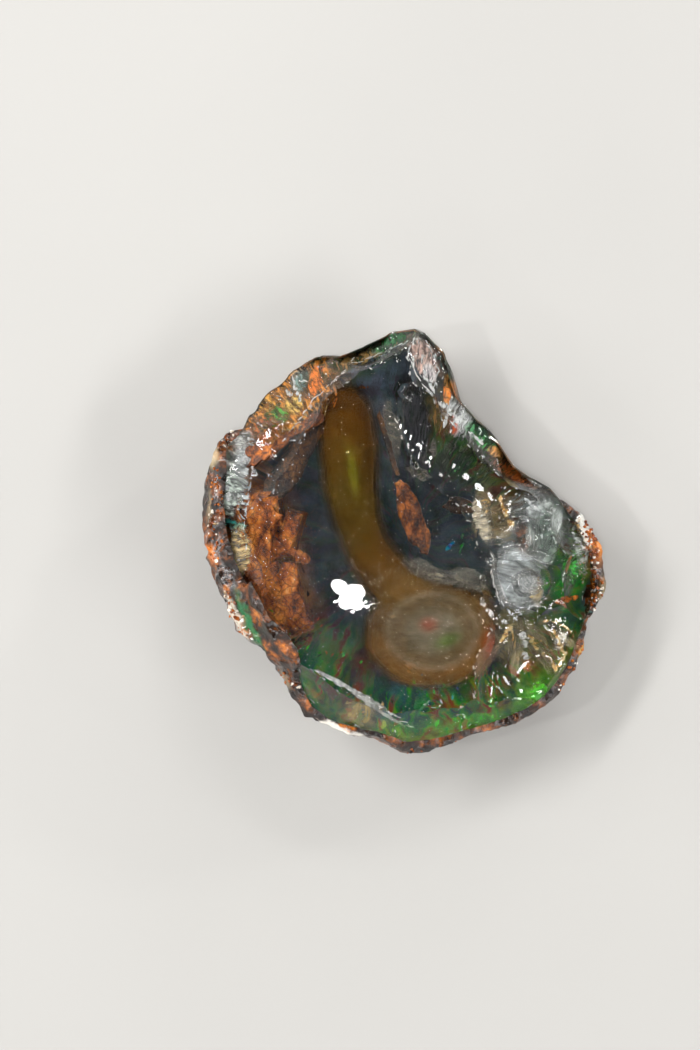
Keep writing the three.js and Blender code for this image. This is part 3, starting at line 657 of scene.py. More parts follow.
def new_material(name):
    material = bpy.data.materials.new(name)
    material.use_nodes = True
    tree = material.node_tree
    tree.nodes.clear()
    return material, tree, add(tree, "TexCoord").outputs["Object"]


def ragged(tree, place, size, reach):
    """The place, pushed about by noise, so that a zone drawn with it has a ragged edge."""
    blown = add(tree, "TexNoise", {"Vector": place, "Scale": 1 / (size * MM), "Detail": 4.0})
    push = add(tree, "VectorMath", {0: blown.outputs["Color"], 1: (0.5, 0.5, 0.5)}, operation="SUBTRACT")
    return add(tree, "VectorMath", {0: push, 1: (2 * reach * MM,) * 3, 2: place}, operation="MULTIPLY_ADD")


def fanned(tree, place, middle, drawn_out):
    """The place, bent so that a pattern's streaks run out from the given middle."""
    centred = add(tree, "VectorMath", {0: place, 1: in_frame((*middle, 0))}, operation="SUBTRACT")
    apart = add(tree, "SeparateXYZ", {"Vector": centred}).outputs
    back = add(tree, "Math", {0: apart["X"], 1: -1.0}, operation="MULTIPLY")
    round_it = add(tree, "Math", {0: back, 1: apart["Y"]}, operation="ARCTAN2")
    across = add(tree, "Math", {0: round_it, 1: 20 * MM}, operation="MULTIPLY")
    out = add(tree, "VectorMath", {0: centred}, operation="LENGTH")
    along = add(tree, "Math", {0: out.outputs["Value"], 1: drawn_out}, operation="MULTIPLY")
    high = add(tree, "Math", {0: apart["Z"], 1: 0.25}, operation="MULTIPLY")
    return add(tree, "CombineXYZ", {"X": across, "Y": along, "Z": high})


def zone(tree, place, middle, reach, turn=0, soft=0.5, strength=1.0):
    """A factor that is the given strength within an oval of the stone's plan, and 0 outside it."""
    oval = add(tree, "Mapping", {
        "Vector": place, "Location": in_frame((*middle, 0)), "Rotation": (0, 0, math.radians(turn)),
        "Scale": (reach[0] * MM, reach[1] * MM, 1),
    }, vector_type="TEXTURE")
    away = add(tree, "VectorMath", {0: oval}, operation="LENGTH")
    return add(tree, "MapRange", {
        "Value": away.outputs["Value"], "From Min": 1 - soft, "From Max": 1 + soft,
        "To Min": strength, "To Max": 0.0,
    }, interpolation_type="SMOOTHSTEP")


def any_zone(tree, place, zones):
    """A factor that follows whichever of the zones is strongest at each place."""
    most = 0.0
    for each in zones:
        most = add(tree, "Math", {0: zone(tree, place, *each), 1: most}, operation="MAXIMUM")
    return most


def laid_over(tree, place, under, zones):
    """The colours of zones, laid over one another and over the colour under them."""
    for *oval, colour in zones:
        under = add(tree, "Mix", {"Factor": zone(tree, place, *oval), 6: under, 7: linear(colour)},
                    data_type="RGBA").outputs[2]
    return under


def crystal_opal():
    # Crystal opal, broken by blows and wetted: glass-clear and smoky, with a glassy lustre that turns
    # frosted where the blows crushed it.
    material, tree, place = new_material("crystal_opal_fractured")
    crushed = zone(tree, ragged(tree, place, 2.5, 1.0), (14.4, -2.6), (3.6, 6.0), 8, 0.4)
    dust = add(tree, "TexNoise", {"Vector": place, "Scale": 5200.0, "Detail": 2.0})
    fine = add(tree, "MapRange", {"Value": dust, "From Min": 0.64, "From Max": 0.74})
    streaks = fanned(tree, place, (16.8, -3.6), 0.3)
    crumbs = add(tree, "TexNoise", {"Vector": streaks, "Scale": 1600.0, "Detail": 4.0, "Roughness": 0.6})
    frost = add(tree, "MapRange", {"Value": crumbs, "From Min": 0.45, "From Max": 0.65, "To Min": 0.02,
                                   "To Max": 0.2})
    rough = add(tree, "Mix", {"Factor": crushed, "A": 0.02, "B": frost})
    deep = add(tree, "Mix", {"Factor": crushed, "A": fine, "B": crumbs})
    height = add(tree, "MapRange", {"Value": crushed, "To Min": 0.6, "To Max": 0.8})
    grains = add(tree, "Bump", {"Strength": height, "Distance": 0.06 * MM, "Height": deep})
    smooth = any_zone(tree, ragged(tree, place, 3.0, 0.8), SMOOTH)
    rim = add(tree, "MapRange", {"Value": smooth, "To Min": 0.9, "To Max": 0.0})
    ripples = add(tree, "TexNoise", {"Vector": fanned(tree, place, (-4, 0), 0.6), "Scale": 900.0,
                                     "Detail": 2.0, "Distortion": 0.6})
    bump = add(tree, "Bump", {"Strength": rim, "Distance": 0.22 * MM, "Height": ripples, "Normal": grains})
    skin = add(tree, "BsdfPrincipled", {
        "Base Color": (1, 1, 1, 1), "Roughness": rough, "IOR": 1.45, "Transmission Weight": 1.0,
        "Specular IOR Level": 0.4, "Normal": bump,
    })
    smoke = add(tree, "VolumeAbsorption", {"Color": (0.42, 0.42, 0.4, 1), "Density": 30.0})
    add(tree, "OutputMaterial", {"Surface": skin, "Volume": smoke})
    return material


def ironstone(ground):
    # Weathered ironstone: brown limonite with rust and dark manganese stains, rough, wet in places, with
    # a crust along its upper edge whose whitest patches are painted wet highlights. "ground" is the rind's
    # surface, which says how high that edge is.
    material, tree, place = new_material("ironstone_weathered")
    broad = add(tree, "TexNoise", {"Vector": place, "Scale": 420.0, "Detail": 7.0, "Roughness": 0.68})
    tone = add(tree, "ValToRGB", {"Fac": broad}, stops=(
        (0.4, "0c0704"), (0.49, "2a1608"), (0.57, "6a380f"), (0.65, "b4641a"), (0.76, "e8a858"))).outputs[0]
    rough_place = ragged(tree, place, 1.6, 0.9)
    high = add(tree, "SeparateXYZ", {"Vector": rough_place}).outputs["Z"]
    # Lays in the crust and, in its whitest zones, painted wet highlights, each fading below the rind's
    # edge.
    for *oval, colour in CRUST_AND_HIGHLIGHTS:
        edge = ground.find_nearest(in_frame((*oval[0], 12)))[0].z
        near_edge = add(tree, "MapRange", {"Value": high, "From Min": edge - RIND_EDGE_FADES[0] * MM,
                                           "From Max": edge - RIND_EDGE_FADES[1] * MM})
        spot = add(tree, "Math", {0: zone(tree, rough_place, *oval), 1: near_edge}, operation="MULTIPLY")
        tone = add(tree, "Mix", {"Factor": spot, 6: tone, 7: linear(colour)}, data_type="RGBA").outputs[2]
    grain = add(tree, "TexNoise", {"Vector": place, "Scale": 1400.0, "Detail": 4.0})
    bump = add(tree, "Bump", {"Strength": 0.8, "Distance": 0.3 * MM, "Height": grain})
    wet = add(tree, "TexNoise", {"Vector": place, "Scale": 250.0})
    rough = add(tree, "MapRange", {"Value": wet, "From Min": 0.42, "From Max": 0.6, "To Min": 0.12,
                                   "To Max": 0.6})
    skin = add(tree, "BsdfPrincipled", {
        "Base Color": tone, "Roughness": rough, "Normal": bump, "Coat Weight": 0.3, "Coat Roughness": 0.15,
    })
    add(tree, "OutputMaterial", {"Surface": skin})
    return material


def fire_streaks(tree, place):
    """The opal's fire: streaks that run out from the stone's middle, each of one colour, and how much of
    them shows."""
    fan = fanned(tree, place, (0, 0), 0.3)
    cells = add(tree, "TexVoronoi", {"Vector": fan, "Scale": 1 / (1.3 * MM), "Detail": 1.0},
                feature="SMOOTH_F1")
    pick = add(tree, "SeparateColor", {"Color": cells.outputs["Color"]})
    hue = add(tree, "ValToRGB", {"Fac": pick}, stops=(
        (0.06, "0a2c54"), (0.24, "0b5a58"), (0.42, "109048"), (0.6, "38bc30"), (0.76, "86c42c"),
        (0.9, "b08c2c"), (0.97, "c0501c")))
    lit = add(tree, "MapRange", {"Value": pick.outputs[1], "From Min": 0.2, "From Max": 0.8})
    shown = add(tree, "Math", {0: lit, 1: any_zone(tree, place, FIRE)}, operation="MULTIPLY")
    return hue.outputs[0], shown


def opal_bed():
    # The inner face of the ironstone, seen through the opal: dark, with rust and the opal's own colours.
    material, tree, place = new_material("ironstone_bed_stained")
    rough_place = ragged(tree, ragged(tree, place, 5, 1.2), 0.9, 0.45)
    broad = add(tree, "TexNoise", {"Vector": place, "Scale": 400.0, "Detail": 5.0, "Roughness": 0.65})
    mottle = add(tree, "MapRange", {"Value": broad, "From Min": 0.36, "From Max": 0.64, "To Min": 0.4,
                                    "To Max": 1.6})
    tone = add(tree, "VectorMath", {0: laid_over(tree, rough_place, linear("242b35"), STAINS),
                                    "Scale": mottle}, operation="SCALE")
    hue, shown = fire_streaks(tree, ragged(tree, ragged(tree, place, 3, 1.2), 1.1, 0.4))
    tone = add(tree, "Mix", {"Factor": shown, 6: tone, 7: hue}, data_type="RGBA").outputs[2]
    skin = add(tree, "BsdfPrincipled", {"Base Color": tone, "Roughness": 0.45})
    add(tree, "OutputMaterial", {"Surface": skin})
    return material


def iron_skin():
    # A film of iron stain in the opal's back: amber to dark brown, moss green in places.
    material, tree, place = new_material("iron_stain_film")
    broad = add(tree, "TexNoise", {"Vector": place, "Scale": 280.0, "Detail": 5.0, "Roughness": 0.6})
    tone = add(tree, "ValToRGB", {"Fac": broad}, stops=(
        (0.34, "140f0a"), (0.45, "23301a"), (0.52, "4a3316"), (0.6, "86521f"), (0.7, "b8793a")))
    bump = add(tree, "Bump", {"Strength": 0.5, "Distance": 0.1 * MM, "Height": broad})
    skin = add(tree, "BsdfPrincipled", {"Base Color": tone, "Roughness": 0.5, "Normal": bump})
    add(tree, "OutputMaterial", {"Surface": skin})
    return material


def brown_cloud(opacity):
    # Milky brown opal: a soft cloud in the clear stone, paler and greyer in its bulb. Its haze is lit
    # through, so it is brighter than its dense part.
    material, tree, place = new_material("milky_opal_brown")
    wisp = add(tree, "TexNoise", {"Vector": place, "Scale": 260.0, "Detail": 4.0})
    light = 1.0 if opacity == 1 else 1.6
    broad = add(tree, "MapRange", {"Value": wisp, "From Min": 0.3, "From Max": 0.7, "To Min": 0.82 * light,
                                   "To Max": 1.15 * light})
    fibres = add(tree, "Mapping", {"Vector": place, "Scale": (0.4, 1, 1)})
    fuzz = add(tree, "TexNoise", {"Vector": fibres, "Scale": 2200.0, "Detail": 3.0})
    fine = add(tree, "MapRange", {"Value": fuzz, "From Min": 0.3, "From Max": 0.7, "To Min": 0.7,
                                  "To Max": 1.3})
    shade = add(tree, "Math", {0: broad, 1: fine}, operation="MULTIPLY")
    tone = add(tree, "VectorMath", {0: laid_over(tree, place, linear("603e14"), CLOUD), "Scale": shade},
               operation="SCALE")
    skin = add(tree, "BsdfPrincipled", {"Base Color": tone, "Roughness": 0.8, "Specular IOR Level": 0.0})
    if opacity < 1:
        thin = add(tree, "MapRange", {"Value": wisp, "From Min": 0.3, "From Max": 0.7,
                                      "To Min": 0.5 * opacity, "To Max": 1.5 * opacity})
        tree.links.new(thin.outputs[0], skin.inputs["Alpha"])
    add(tree, "OutputMaterial", {"Surface": skin})
    return material


def pale_crumbs():
    # Crumbs of common opal: milky, cream to white, glossy with water; their white is partly a painted wet
    # highlight.
    material, tree, place = new_material("common_opal_and_highlight_crumbs")
    cream = add(tree, "TexNoise", {"Vector": place, "Scale": 700.0, "Detail": 3.0})
    tone = add(tree, "ValToRGB", {"Fac": cream}, stops=((0.38, "a88a5c"), (0.6, "f8f6f0")))
    skin = add(tree, "BsdfPrincipled", {"Base Color": tone, "Roughness": 0.12})
    add(tree, "OutputMaterial", {"Surface": skin})
    return material


def rust(name, colours, roughness=0.6):
    # Limonite that seeped into the opal's cracks: granular, crazed, with black specks.
    material, tree, place = new_material(name)
    grain = add(tree, "Mapping", {"Vector": place, "Rotation": (0, 0, math.radians(6)),
                                  "Scale": (1, 0.6, 1)})
    broad = add(tree, "TexNoise", {"Vector": grain, "Scale": 520.0, "Detail": 8.0, "Roughness": 0.75})
    tone = add(tree, "ValToRGB", {"Fac": broad}, stops=tuple(zip((0.38, 0.48, 0.58, 0.68), colours)))
    crazed = add(tree, "TexVoronoi", {"Vector": ragged(tree, place, 0.8, 0.2), "Scale": 1 / (0.9 * MM)},
                 feature="DISTANCE_TO_EDGE")
    gap = add(tree, "MapRange", {"Value": crazed, "From Max": 0.1, "To Min": 0.3})
    dark = add(tree, "VectorMath", {0: tone, "Scale": gap}, operation="SCALE")
    bump = add(tree, "Bump", {"Strength": 0.6, "Distance": 0.2 * MM, "Height": broad})
    skin = add(tree, "BsdfPrincipled", {"Base Color": dark, "Roughness": roughness, "Normal": bump})
    add(tree, "OutputMaterial", {"Surface": skin})
    return material


def veil(name, middle, drawn_out, strength, tones, shards):
    # A crack in the opal, half healed: a pale, silvery or golden film, streaked away from where it began
    # to open, and ragged at its edges.
    material, tree, place = new_material(name)
    streaks = fanned(tree, ragged(tree, place, 1.6, 0.5), middle, drawn_out)
    wisp = add(tree, "TexNoise", {"Vector": streaks, "Scale": 2000.0, "Detail": 8.0, "Roughness": 0.72,
                                  "Distortion": 0.3})
    tone = add(tree, "ValToRGB", {"Fac": wisp}, stops=tuple(zip((0.34, 0.5, 0.68), tones)))
    cover = any_zone(tree, ragged(tree, ragged(tree, place, 2.4, 0.8), 0.6, 0.3), [
        (at[:2], (0.8 * half[0], 0.8 * half[1]), turn[2], 0.5, strength) for at, half, turn in shards])
    veiled = add(tree, "Math", {0: cover, 1: 1.3}, operation="MULTIPLY")
    full = add(tree, "Math", {0: wisp, 1: 1.0, 2: veiled}, operation="MULTIPLY_ADD")
    holes = add(tree, "MapRange", {"Value": full, "From Min": 0.8, "From Max": 1.8, "To Max": 0.85})
    bump = add(tree, "Bump", {"Strength": 0.5, "Distance": 0.12 * MM, "Height": wisp})
    skin = add(tree, "BsdfPrincipled", {
        "Base Color": tone, "Roughness": 0.4, "Metallic": 0.1, "Alpha": holes, "Normal": bump,
    })
    add(tree, "OutputMaterial", {"Surface": skin})
    return material


def glint(name, colour, second, metal):
    # A clean break inside the opal that flashes one colour: smooth, and gone in patches.
    material, tree, place = new_material(name)
    drift = add(tree, "TexNoise", {"Vector": place, "Scale": 1600.0, "Detail": 3.0})
    sharp = add(tree, "MapRange", {"Value": drift, "From Min": 0.4, "From Max": 0.6})
    tone = add(tree, "Mix", {"Factor": sharp, 6: linear(colour), 7: linear(second)}, data_type="RGBA")
    gone = add(tree, "MapRange", {"Value": drift, "From Min": 0.5, "From Max": 0.66, "To Min": 1.0,
                                  "To Max": 0.3})
    skin = add(tree, "BsdfPrincipled", {"Base Color": tone.outputs[2], "Roughness": 0.25,
                                        "Metallic": metal, "Alpha": gone})
    add(tree, "OutputMaterial", {"Surface": skin})
    return material


def milky_mist():
    # A faint bluish milkiness that hangs in clear opal in wisps.
    material, tree, place = new_material("opal_milky_mist")
    wisp = add(tree, "TexNoise", {"Vector": place, "Scale": 130.0, "Detail": 5.0, "Roughness": 0.6,
                                  "Distortion": 0.5})
    tone = add(tree, "Mix", {"Factor": wisp, 6: linear("8fa0b8"), 7: linear("b8b6ac")}, data_type="RGBA")
    thin = add(tree, "MapRange", {"Value": wisp, "From Min": 0.36, "From Max": 0.68, "To Min": 0.0,
                                  "To Max": 0.09})
    skin = add(tree, "BsdfPrincipled", {"Base Color": tone.outputs[2], "Roughness": 0.9,
                                        "Specular IOR Level": 0.0, "Alpha": thin})
    add(tree, "OutputMaterial", {"Surface": skin})
    return material


def bruised_and_painted_light_film():
    # Fine cracks close under the broken surface, streaked away from the stone's middle: stained amber,
    # rust or green by iron and by the opal's own fire, or silvery where they are clean. Some of its white
    # zones are painted highlights, and one dark zone is a painted shadow.
    material, tree, place = new_material("opal_bruised_and_painted_light_film")
    rough_place = ragged(tree, place, 1.2, 0.35)
    wild = add(tree, "TexNoise", {"Vector": fanned(tree, rough_place, (0, 0), 0.3), "Scale": 2000.0,
                                  "Detail": 6.0, "Roughness": 0.7, "Distortion": 0.4})
    smooth = add(tree, "TexNoise", {"Vector": fanned(tree, place, (0, 0), 1.0), "Scale": 900.0,
                                    "Detail": 6.0, "Roughness": 0.6})
    even = add(tree, "MapRange", {"Value": smooth, "To Min": 0.3, "To Max": 0.74})
    wisp = add(tree, "Mix", {"Factor": any_zone(tree, rough_place, CALM), "A": wild, "B": even})
    tone = laid_over(tree, rough_place, linear("8a8478"), [(*row[:4], 1.0, row[5]) for row in FILM])
    shade = add(tree, "MapRange", {"Value": wisp, "From Min": 0.4, "From Max": 0.6, "To Min": 0.14,
                                   "To Max": 1.5})
    tone = add(tree, "VectorMath", {0: tone, "Scale": shade}, operation="SCALE")
    cover = any_zone(tree, rough_place, [row[:5] for row in FILM])
    full = add(tree, "Math", {0: cover, 1: 0.5, 2: wisp}, operation="MULTIPLY_ADD")
    holes = add(tree, "MapRange", {"Value": full, "From Min": 0.7, "From Max": 0.98, "To Max": 0.92})
    bump = add(tree, "Bump", {"Strength": 0.7, "Distance": 0.2 * MM, "Height": wisp})
    skin = add(tree, "BsdfPrincipled", {
        "Base Color": tone, "Roughness": 0.3, "Metallic": 0.3, "Alpha": holes, "Normal": bump,
    })
    add(tree, "OutputMaterial", {"Surface": skin})
    return material


# ---- The opal -----------------------------------------------------------------------------------


def rippled(piece, place, wavelength, height, middle=0.0):
    """Raises rings round a place in a piece's surface."""
    texture = bpy.data.textures.new("ripples", "WOOD")
    texture.wood_type = "RINGS"
    texture.noise_basis_2 = "SIN"
    centre = new_object("blow", None)
    centre.location = place
    centre.scale = (wavelength * MM * 20 / (2 * math.pi),) * 3
    bpy.context.view_layer.update()
    apply(piece, "DISPLACE", texture=texture, texture_coords="OBJECT", texture_coords_object=centre,
          strength=height * MM, mid_level=middle)
    bpy.data.objects.remove(centre)


def cut(piece, cutter, operation="DIFFERENCE"):
    apply(piece, "BOOLEAN", operation=operation, solver="MANIFOLD", object=cutter)
    bpy.data.objects.remove(cutter)


def in_one_order(piece):
    """Sorts a piece's faces: Blender makes those of a UV sphere in another order each run."""
    shape = bmesh.new()
    corners = [shape.verts.new(vertex.co) for vertex in piece.data.vertices]
    for face in sorted(tuple(face.vertices) for face in piece.data.polygons):
        shape.faces.new([corners[k] for k in face])
    shape.to_mesh(piece.data)
    shape.free()


def window_dome():
    """The smooth cap that the window's surface follows, with long, faint swells."""
    radius = DOME["radius"] - CLEAR
    deselect()
    bpy.ops.mesh.primitive_uv_sphere_add(
        segments=200, ring_count=420, radius=radius * MM, calc_uvs=False,
        location=in_frame((DOME["x"], DOME["y"], DOME["top"] - DOME["radius"])),
    )
    cap = bpy.context.object
    settle(cap)
    in_one_order(cap)
    edited(cap, bpy.ops.mesh.bisect, plane_co=(0, 0, -5 * MM), plane_no=(0, 0, 1), use_fill=True,
           clear_inner=True)
    rippled(cap, in_frame((-26, 22, 12)), 8.5, 0.02, middle=1.0)
    lumpy(cap, 30, 0.15, middle=1.0)
    return cap


def scar_ball(at, drop, out, radius, long, blow):
    """The ball, or the long ball, that breaks one scar out of the stone, rippled round the blow."""
    through = Vector((*at, dome_height(*at) - drop))
    out = Vector(out).normalized()
    struck = Vector((*blow, through.z))
    along = (struck - through) - (struck - through).project(out)
    along.normalize()
    scar = ball(7 if radius > 12 else 6, radius + CLEAR)
    bpy.ops.transform.resize(value=(long, 1, 1))
    turn = Matrix((along, out.cross(along), out)).transposed().to_4x4()
    middle = Matrix.Translation(in_frame(through + out * radius))
    scar.matrix_world = middle @ turn @ scar.matrix_world
    settle(scar)
    wave = min(1.9, 0.35 + 0.11 * radius)
    rippled(scar, in_frame(struck), wave, 0.035 * wave)
    return scar


def sharp_places(opal):
    """Places on the opal's sharp ridges: each a middle, the way out of it, and the way along it."""
    shape = bmesh.new()
    shape.from_mesh(opal.data)
    places = []
    for edge in shape.edges:
        low = min(v.co.z for v in edge.verts) < 5.5 * MM
        if low or edge.calc_length() < 0.12 * MM or edge.calc_face_angle_signed(0) < math.radians(24):
            continue
        out = (edge.link_faces[0].normal + edge.link_faces[1].normal).normalized()
        along = (edge.verts[1].co - edge.verts[0].co).normalized()
        places.append(((edge.verts[0].co + edge.verts[1].co) / 2, out, along))
    shape.free()
    return places


def chip_edges(opal, count, apart, size):
    """Breaks small chips, clear of one another, out of the opal's ridges."""
    chips = []
    for middle, out, along in picked_apart(sharp_places(opal), count, apart):
        radius = random.uniform(*size)
        lean = Vector([random.uniform(-0.5, 0.5) for _ in range(3)])
        out = (out + lean).normalized()
        bite = radius * random.uniform(0.12, 0.3)
        chip = ball(3, radius)
        long = random.uniform(1.0, 1.7)
        chip.matrix_world = (Matrix.Translation(middle + out * (radius - bite) * MM) @ facing(out, along)
                             @ Matrix.Diagonal((long, 1, 1, 1)))
        settle(chip)
        chips.append(chip)
    cut(opal, joined(chips))


def on_smooth_skin(place):
    """Whether a place is on one of the smooth parts of the opal's skin."""
    for middle, reach, turn, _ in SMOOTH:
        at = Matrix.Rotation(math.radians(-turn), 3, "Z") @ (place - in_frame((*middle, 0)))
        if math.hypot(at.x / reach[0], at.y / reach[1]) < MM:
            return True
    return False


def flake_faces(opal, count, apart, size, bite):
    """Breaks shallow, rippled flakes out of the steep breaks round the window."""
    steep = [(f.center.copy(), f.normal.copy()) for f in opal.data.polygons
             if 0.25 < f.normal.z < 0.85 and f.center.z > 6.5 * MM and f.area > 0.02 * MM * MM
             and not on_smooth_skin(f.center)]
    flakes = []
    for middle, out in picked_apart(steep, count, apart):
        radius = random.uniform(*size)
        out = (out + Vector([random.uniform(-0.25, 0.25) for _ in range(3)])).normalized()
        downhill = (DOWN - DOWN.project(out)).normalized()
        turn = Matrix((downhill, out.cross(downhill), out)).transposed().to_4x4()
        flake = ball(5, radius)
        flake.matrix_world = (
            Matrix.Translation(middle + out * (radius - random.uniform(*bite)) * MM)
            @ turn @ Matrix.Diagonal((random.uniform(1.2, 2.2), 1, 1, 1))
        )
        settle(flake)
        rippled(flake, middle - downhill * random.uniform(1.5, 3.5) * MM, 0.55, 0.02)
        flakes.append(flake)
    for flake in flakes:
        cut(opal, flake)


def opal_hull():
    """The plain outer form of the opal, without its scars or what stands in it."""
    hull = copy_of("opal", "hull")
    edited(hull, bpy.ops.mesh.convex_hull)
    return hull


def block(top, size, turn, grown):
    """One rusty block, swollen by so many millimetres, from its top down to the opal's underside."""
    high = top[2] + grown
    deselect()
    bpy.ops.mesh.primitive_cube_add(size=1, calc_uvs=False, location=(0, 0, -0.5))
    form = bpy.context.object
    settle(form)
    form.scale = ((size[0] + 2 * grown) * MM, (size[1] + 2 * grown) * MM, high * MM)
    settle(form)
    form.matrix_world = (Matrix.Translation(in_frame((top[0], top[1], high)))
                         @ Matrix.Rotation(math.radians(BLOCK_LEAN), 4, "Y")
                         @ Matrix.Rotation(math.radians(turn), 4, "Z"))
    settle(form)
    cut(form, opal_hull(), "INTERSECT")
    return form


def whole_opal():
    """A copy of the solid opal, closed over the cloud and the blocks, which stand in it as in ice."""
    opal = copy_of("opal", "clear_opal")
    cloud = copy_of("brown_cloud", "filling")
    apply(cloud, "DISPLACE", strength=0.8 * MM, mid_level=0.0, direction="NORMAL")
    cut(cloud, opal_hull(), "INTERSECT")
    cut(opal, cloud, "UNION")
    for each in BLOCKS:
        cut(opal, block(*each, 0.5), "UNION")
    return opal


def make_opal(opal):
    cut(opal, window_dome(), "INTERSECT")
    for scar in SCARS:
        cut(opal, scar_ball(*scar))
    flake_faces(opal, 40, 3.0, (2.4, 5.5), (0.15, 0.42))
    chip_edges(opal, 26, 5.6, (1.0, 1.6))
    chip_edges(opal, 44, 3.6, (0.6, 1.0))
    chip_edges(opal, 60, 2.2, (0.35, 0.6))
    finished(opal, "clear_opal", [crystal_opal()], smooth=28)
    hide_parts("opal")


# ---- The rind -----------------------------------------------------------------------------------


def make_rind(inner, opal):
    """The rind. "inner" is the surface of the whole opal that lies in it."""
    rind = copy_of("rind", "ironstone_rind")
    rind.data.materials.clear()
    rind.data.materials.append(ironstone(surface_of(rind)))
    rind.data.materials.append(opal_bed())
    for face in rind.data.polygons:
        near = inner.find_nearest(face.center)[0]
        face.material_index = 1 if (near - face.center).length < BED * MM else 0
    apply(rind, "SUBSURF", subdivision_type="SIMPLE", levels=2, render_levels=2)
    outside = rind.vertex_groups.new(name="outside")
    for face in rind.data.polygons:
        if face.material_index == 0:
            outside.add(list(face.vertices), 1.0, "REPLACE")
    lumpy(rind, 1.6, 0.8, middle=0.55, depth=3, vertex_group="outside")
    for vertex in rind.data.vertices:
        near, normal, _, away = inner.find_nearest(vertex.co)
        if away < TOUCHING * MM:
            vertex.co = near - normal * SEAM_CLOSED * MM
    keep_inside(rind)
    glass = surface_of(opal)
    for face in rind.data.polygons:
        near, normal = glass.find_nearest(face.center)[:2]
        face.material_index = 1 if (face.center - near).dot(normal) < 0 else 0
    finished(rind, "ironstone_rind", None)
    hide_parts("rind")
    return rind


def make_crumbs(rind):
    """Small wet crumbs of rust and of pale common opal, grown on the rind along its edges; the pale ones'
    white is partly a painted wet highlight.
    """
    ground = surface_of(rind)
    brown = rust("limonite_crumbs", ("2a1206", "8a4212", "cc7426", "f4b468"), 0.25)
    kinds = (("rim_crumbs_rust", brown), ("rim_crumbs_pale", pale_crumbs()))
    for kind, (name, material) in enumerate(kinds):
        crumb = ball(1, 1)
        lumpy(crumb, 0.9, 1.0)
        copies = []
        for counts, middle, reach, turn in CRUMBS:
            for _ in range(counts[kind]):
                at = Matrix.Rotation(math.radians(turn), 3, "Z") @ Vector((*within_oval(reach), 0))
                over = in_frame((middle[0] + at.x, middle[1] + at.y, OVER))
                spot, normal = ground.ray_cast(over, DOWN)[:2]
                size = random.uniform(0.1, 0.3)
                if spot is None:
                    continue
                copy = new_object(name, crumb.data.copy())
                copy.matrix_world = (
                    Matrix.Translation(spot + normal * 0.1 * size * MM)
                    @ Matrix.Rotation(random.uniform(0, math.tau), 4, normal)
                    @ Matrix.Diagonal((size, size * random.uniform(0.5, 1), size * 0.8, 1))
                )
                copies.append(copy)
        piece = joined(copies)
        settle(piece)
        keep_inside(piece)
        bpy.data.objects.remove(crumb)
        finished(piece, name, [material], smooth=25)


def make_skin():
    """The thin iron stain in the opal's bare back, where the rind has come away."""
    skin = copy_of("opal", "iron_skin")
    others = [surface_of(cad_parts[name]) for name in ("rind", "brown_cloud")]

    def unwanted(face):
        away = min(other.find_nearest(face.center)[3] for other in others)
        return face.normal.z > 0.3 or away < TOUCHING * MM

    delete_faces(skin, unwanted)
    apply(skin, "SUBSURF", subdivision_type="SIMPLE", levels=2, render_levels=2)
    apply(skin, "DISPLACE", strength=-0.14 * MM, mid_level=0.0, direction="NORMAL")
    apply(skin, "SOLIDIFY", thickness=0.1 * MM, offset=-1.0)
    lumpy(skin, 1.2, 0.1)
    finished(skin, "iron_skin", [iron_skin()])


# ---- What lies inside the opal ------------------------------------------------------------------


def make_cloud():
    """The brown cloud: its dense part, and three thin skins of haze that soften its edge."""
    skins = {
        "brown_cloud_heart": (-0.45, 1.0),
        "brown_cloud_haze_inner": (-0.1, 0.4),
        "brown_cloud_haze_middle": (0.25, 0.25),
        "brown_cloud_haze_outer": (0.6, 0.12),
    }
    for name, (grown, opacity) in skins.items():
        skin = copy_of("brown_cloud", name)
        apply(skin, "REMESH", mode="VOXEL", voxel_size=0.32 * MM)
        apply(skin, "SMOOTH", factor=0.5, iterations=40)
        apply(skin, "DISPLACE", strength=grown * MM, mid_level=0.0, direction="NORMAL")
        lumpy(skin, 2.2, 0.25)
        finished(skin, name, [brown_cloud(opacity)], smooth=180)
        if opacity == 1:
            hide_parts("brown_cloud")


def shard(middle, half, turn=(0, 0, 0), square=3.0, jagged=0.3, corners=36):
    """A thin, broken plate: its middle, its half lengths, how it is turned, and how square it is."""
    bpy.ops.mesh.primitive_circle_add(vertices=corners, radius=1, fill_type="NGON", calc_uvs=False)
    plate = bpy.context.object
    seed = Vector(middle)
    for vertex in plate.data.vertices:
        x, y, _ = vertex.co
        reach = (abs(x) ** square + abs(y) ** square) ** (-1 / square)
        reach *= 1 + jagged * noise.fractal(Vector((x, y, 0)) * 1.7 + seed, 0.8, 2.2, 4)
        vertex.co = (x * reach, y * reach, -1)
    edited(plate, bpy.ops.mesh.extrude_region_move, TRANSFORM_OT_translate={"value": (0, 0, 2)})
    edited(plate, bpy.ops.mesh.normals_make_consistent, inside=False)
    plate.scale = [h * MM for h in half]
    plate.rotation_euler = [math.radians(a) for a in turn]
    plate.location = in_frame(middle)
    settle(plate)
    return plate


def broken_mass(shards, name, material, voxel=0.15, size=1.0, height=0.4, slot="rind", **shape):
    """Shards grown into one rough mass."""
    deselect()
    mass = joined([shard(*each, **shape) for each in shards])
    apply(mass, "REMESH", mode="VOXEL", voxel_size=voxel * MM)
    lumpy(mass, size, height, depth=3)
    finished(mass, name, [material])


def rust_blocks(plates, material):
    """The rusty blocks, roughened, with ragged plates along their tops."""
    deselect()
    mass = joined([block(*each, 0.1) for each in BLOCKS] + [shard(*each, jagged=0.5) for each in plates])
    apply(mass, "REMESH", mode="VOXEL", voxel_size=0.16 * MM)
    lumpy(mass, 1.0, 0.5, depth=3)
    finished(mass, "rust_blocks", [material])


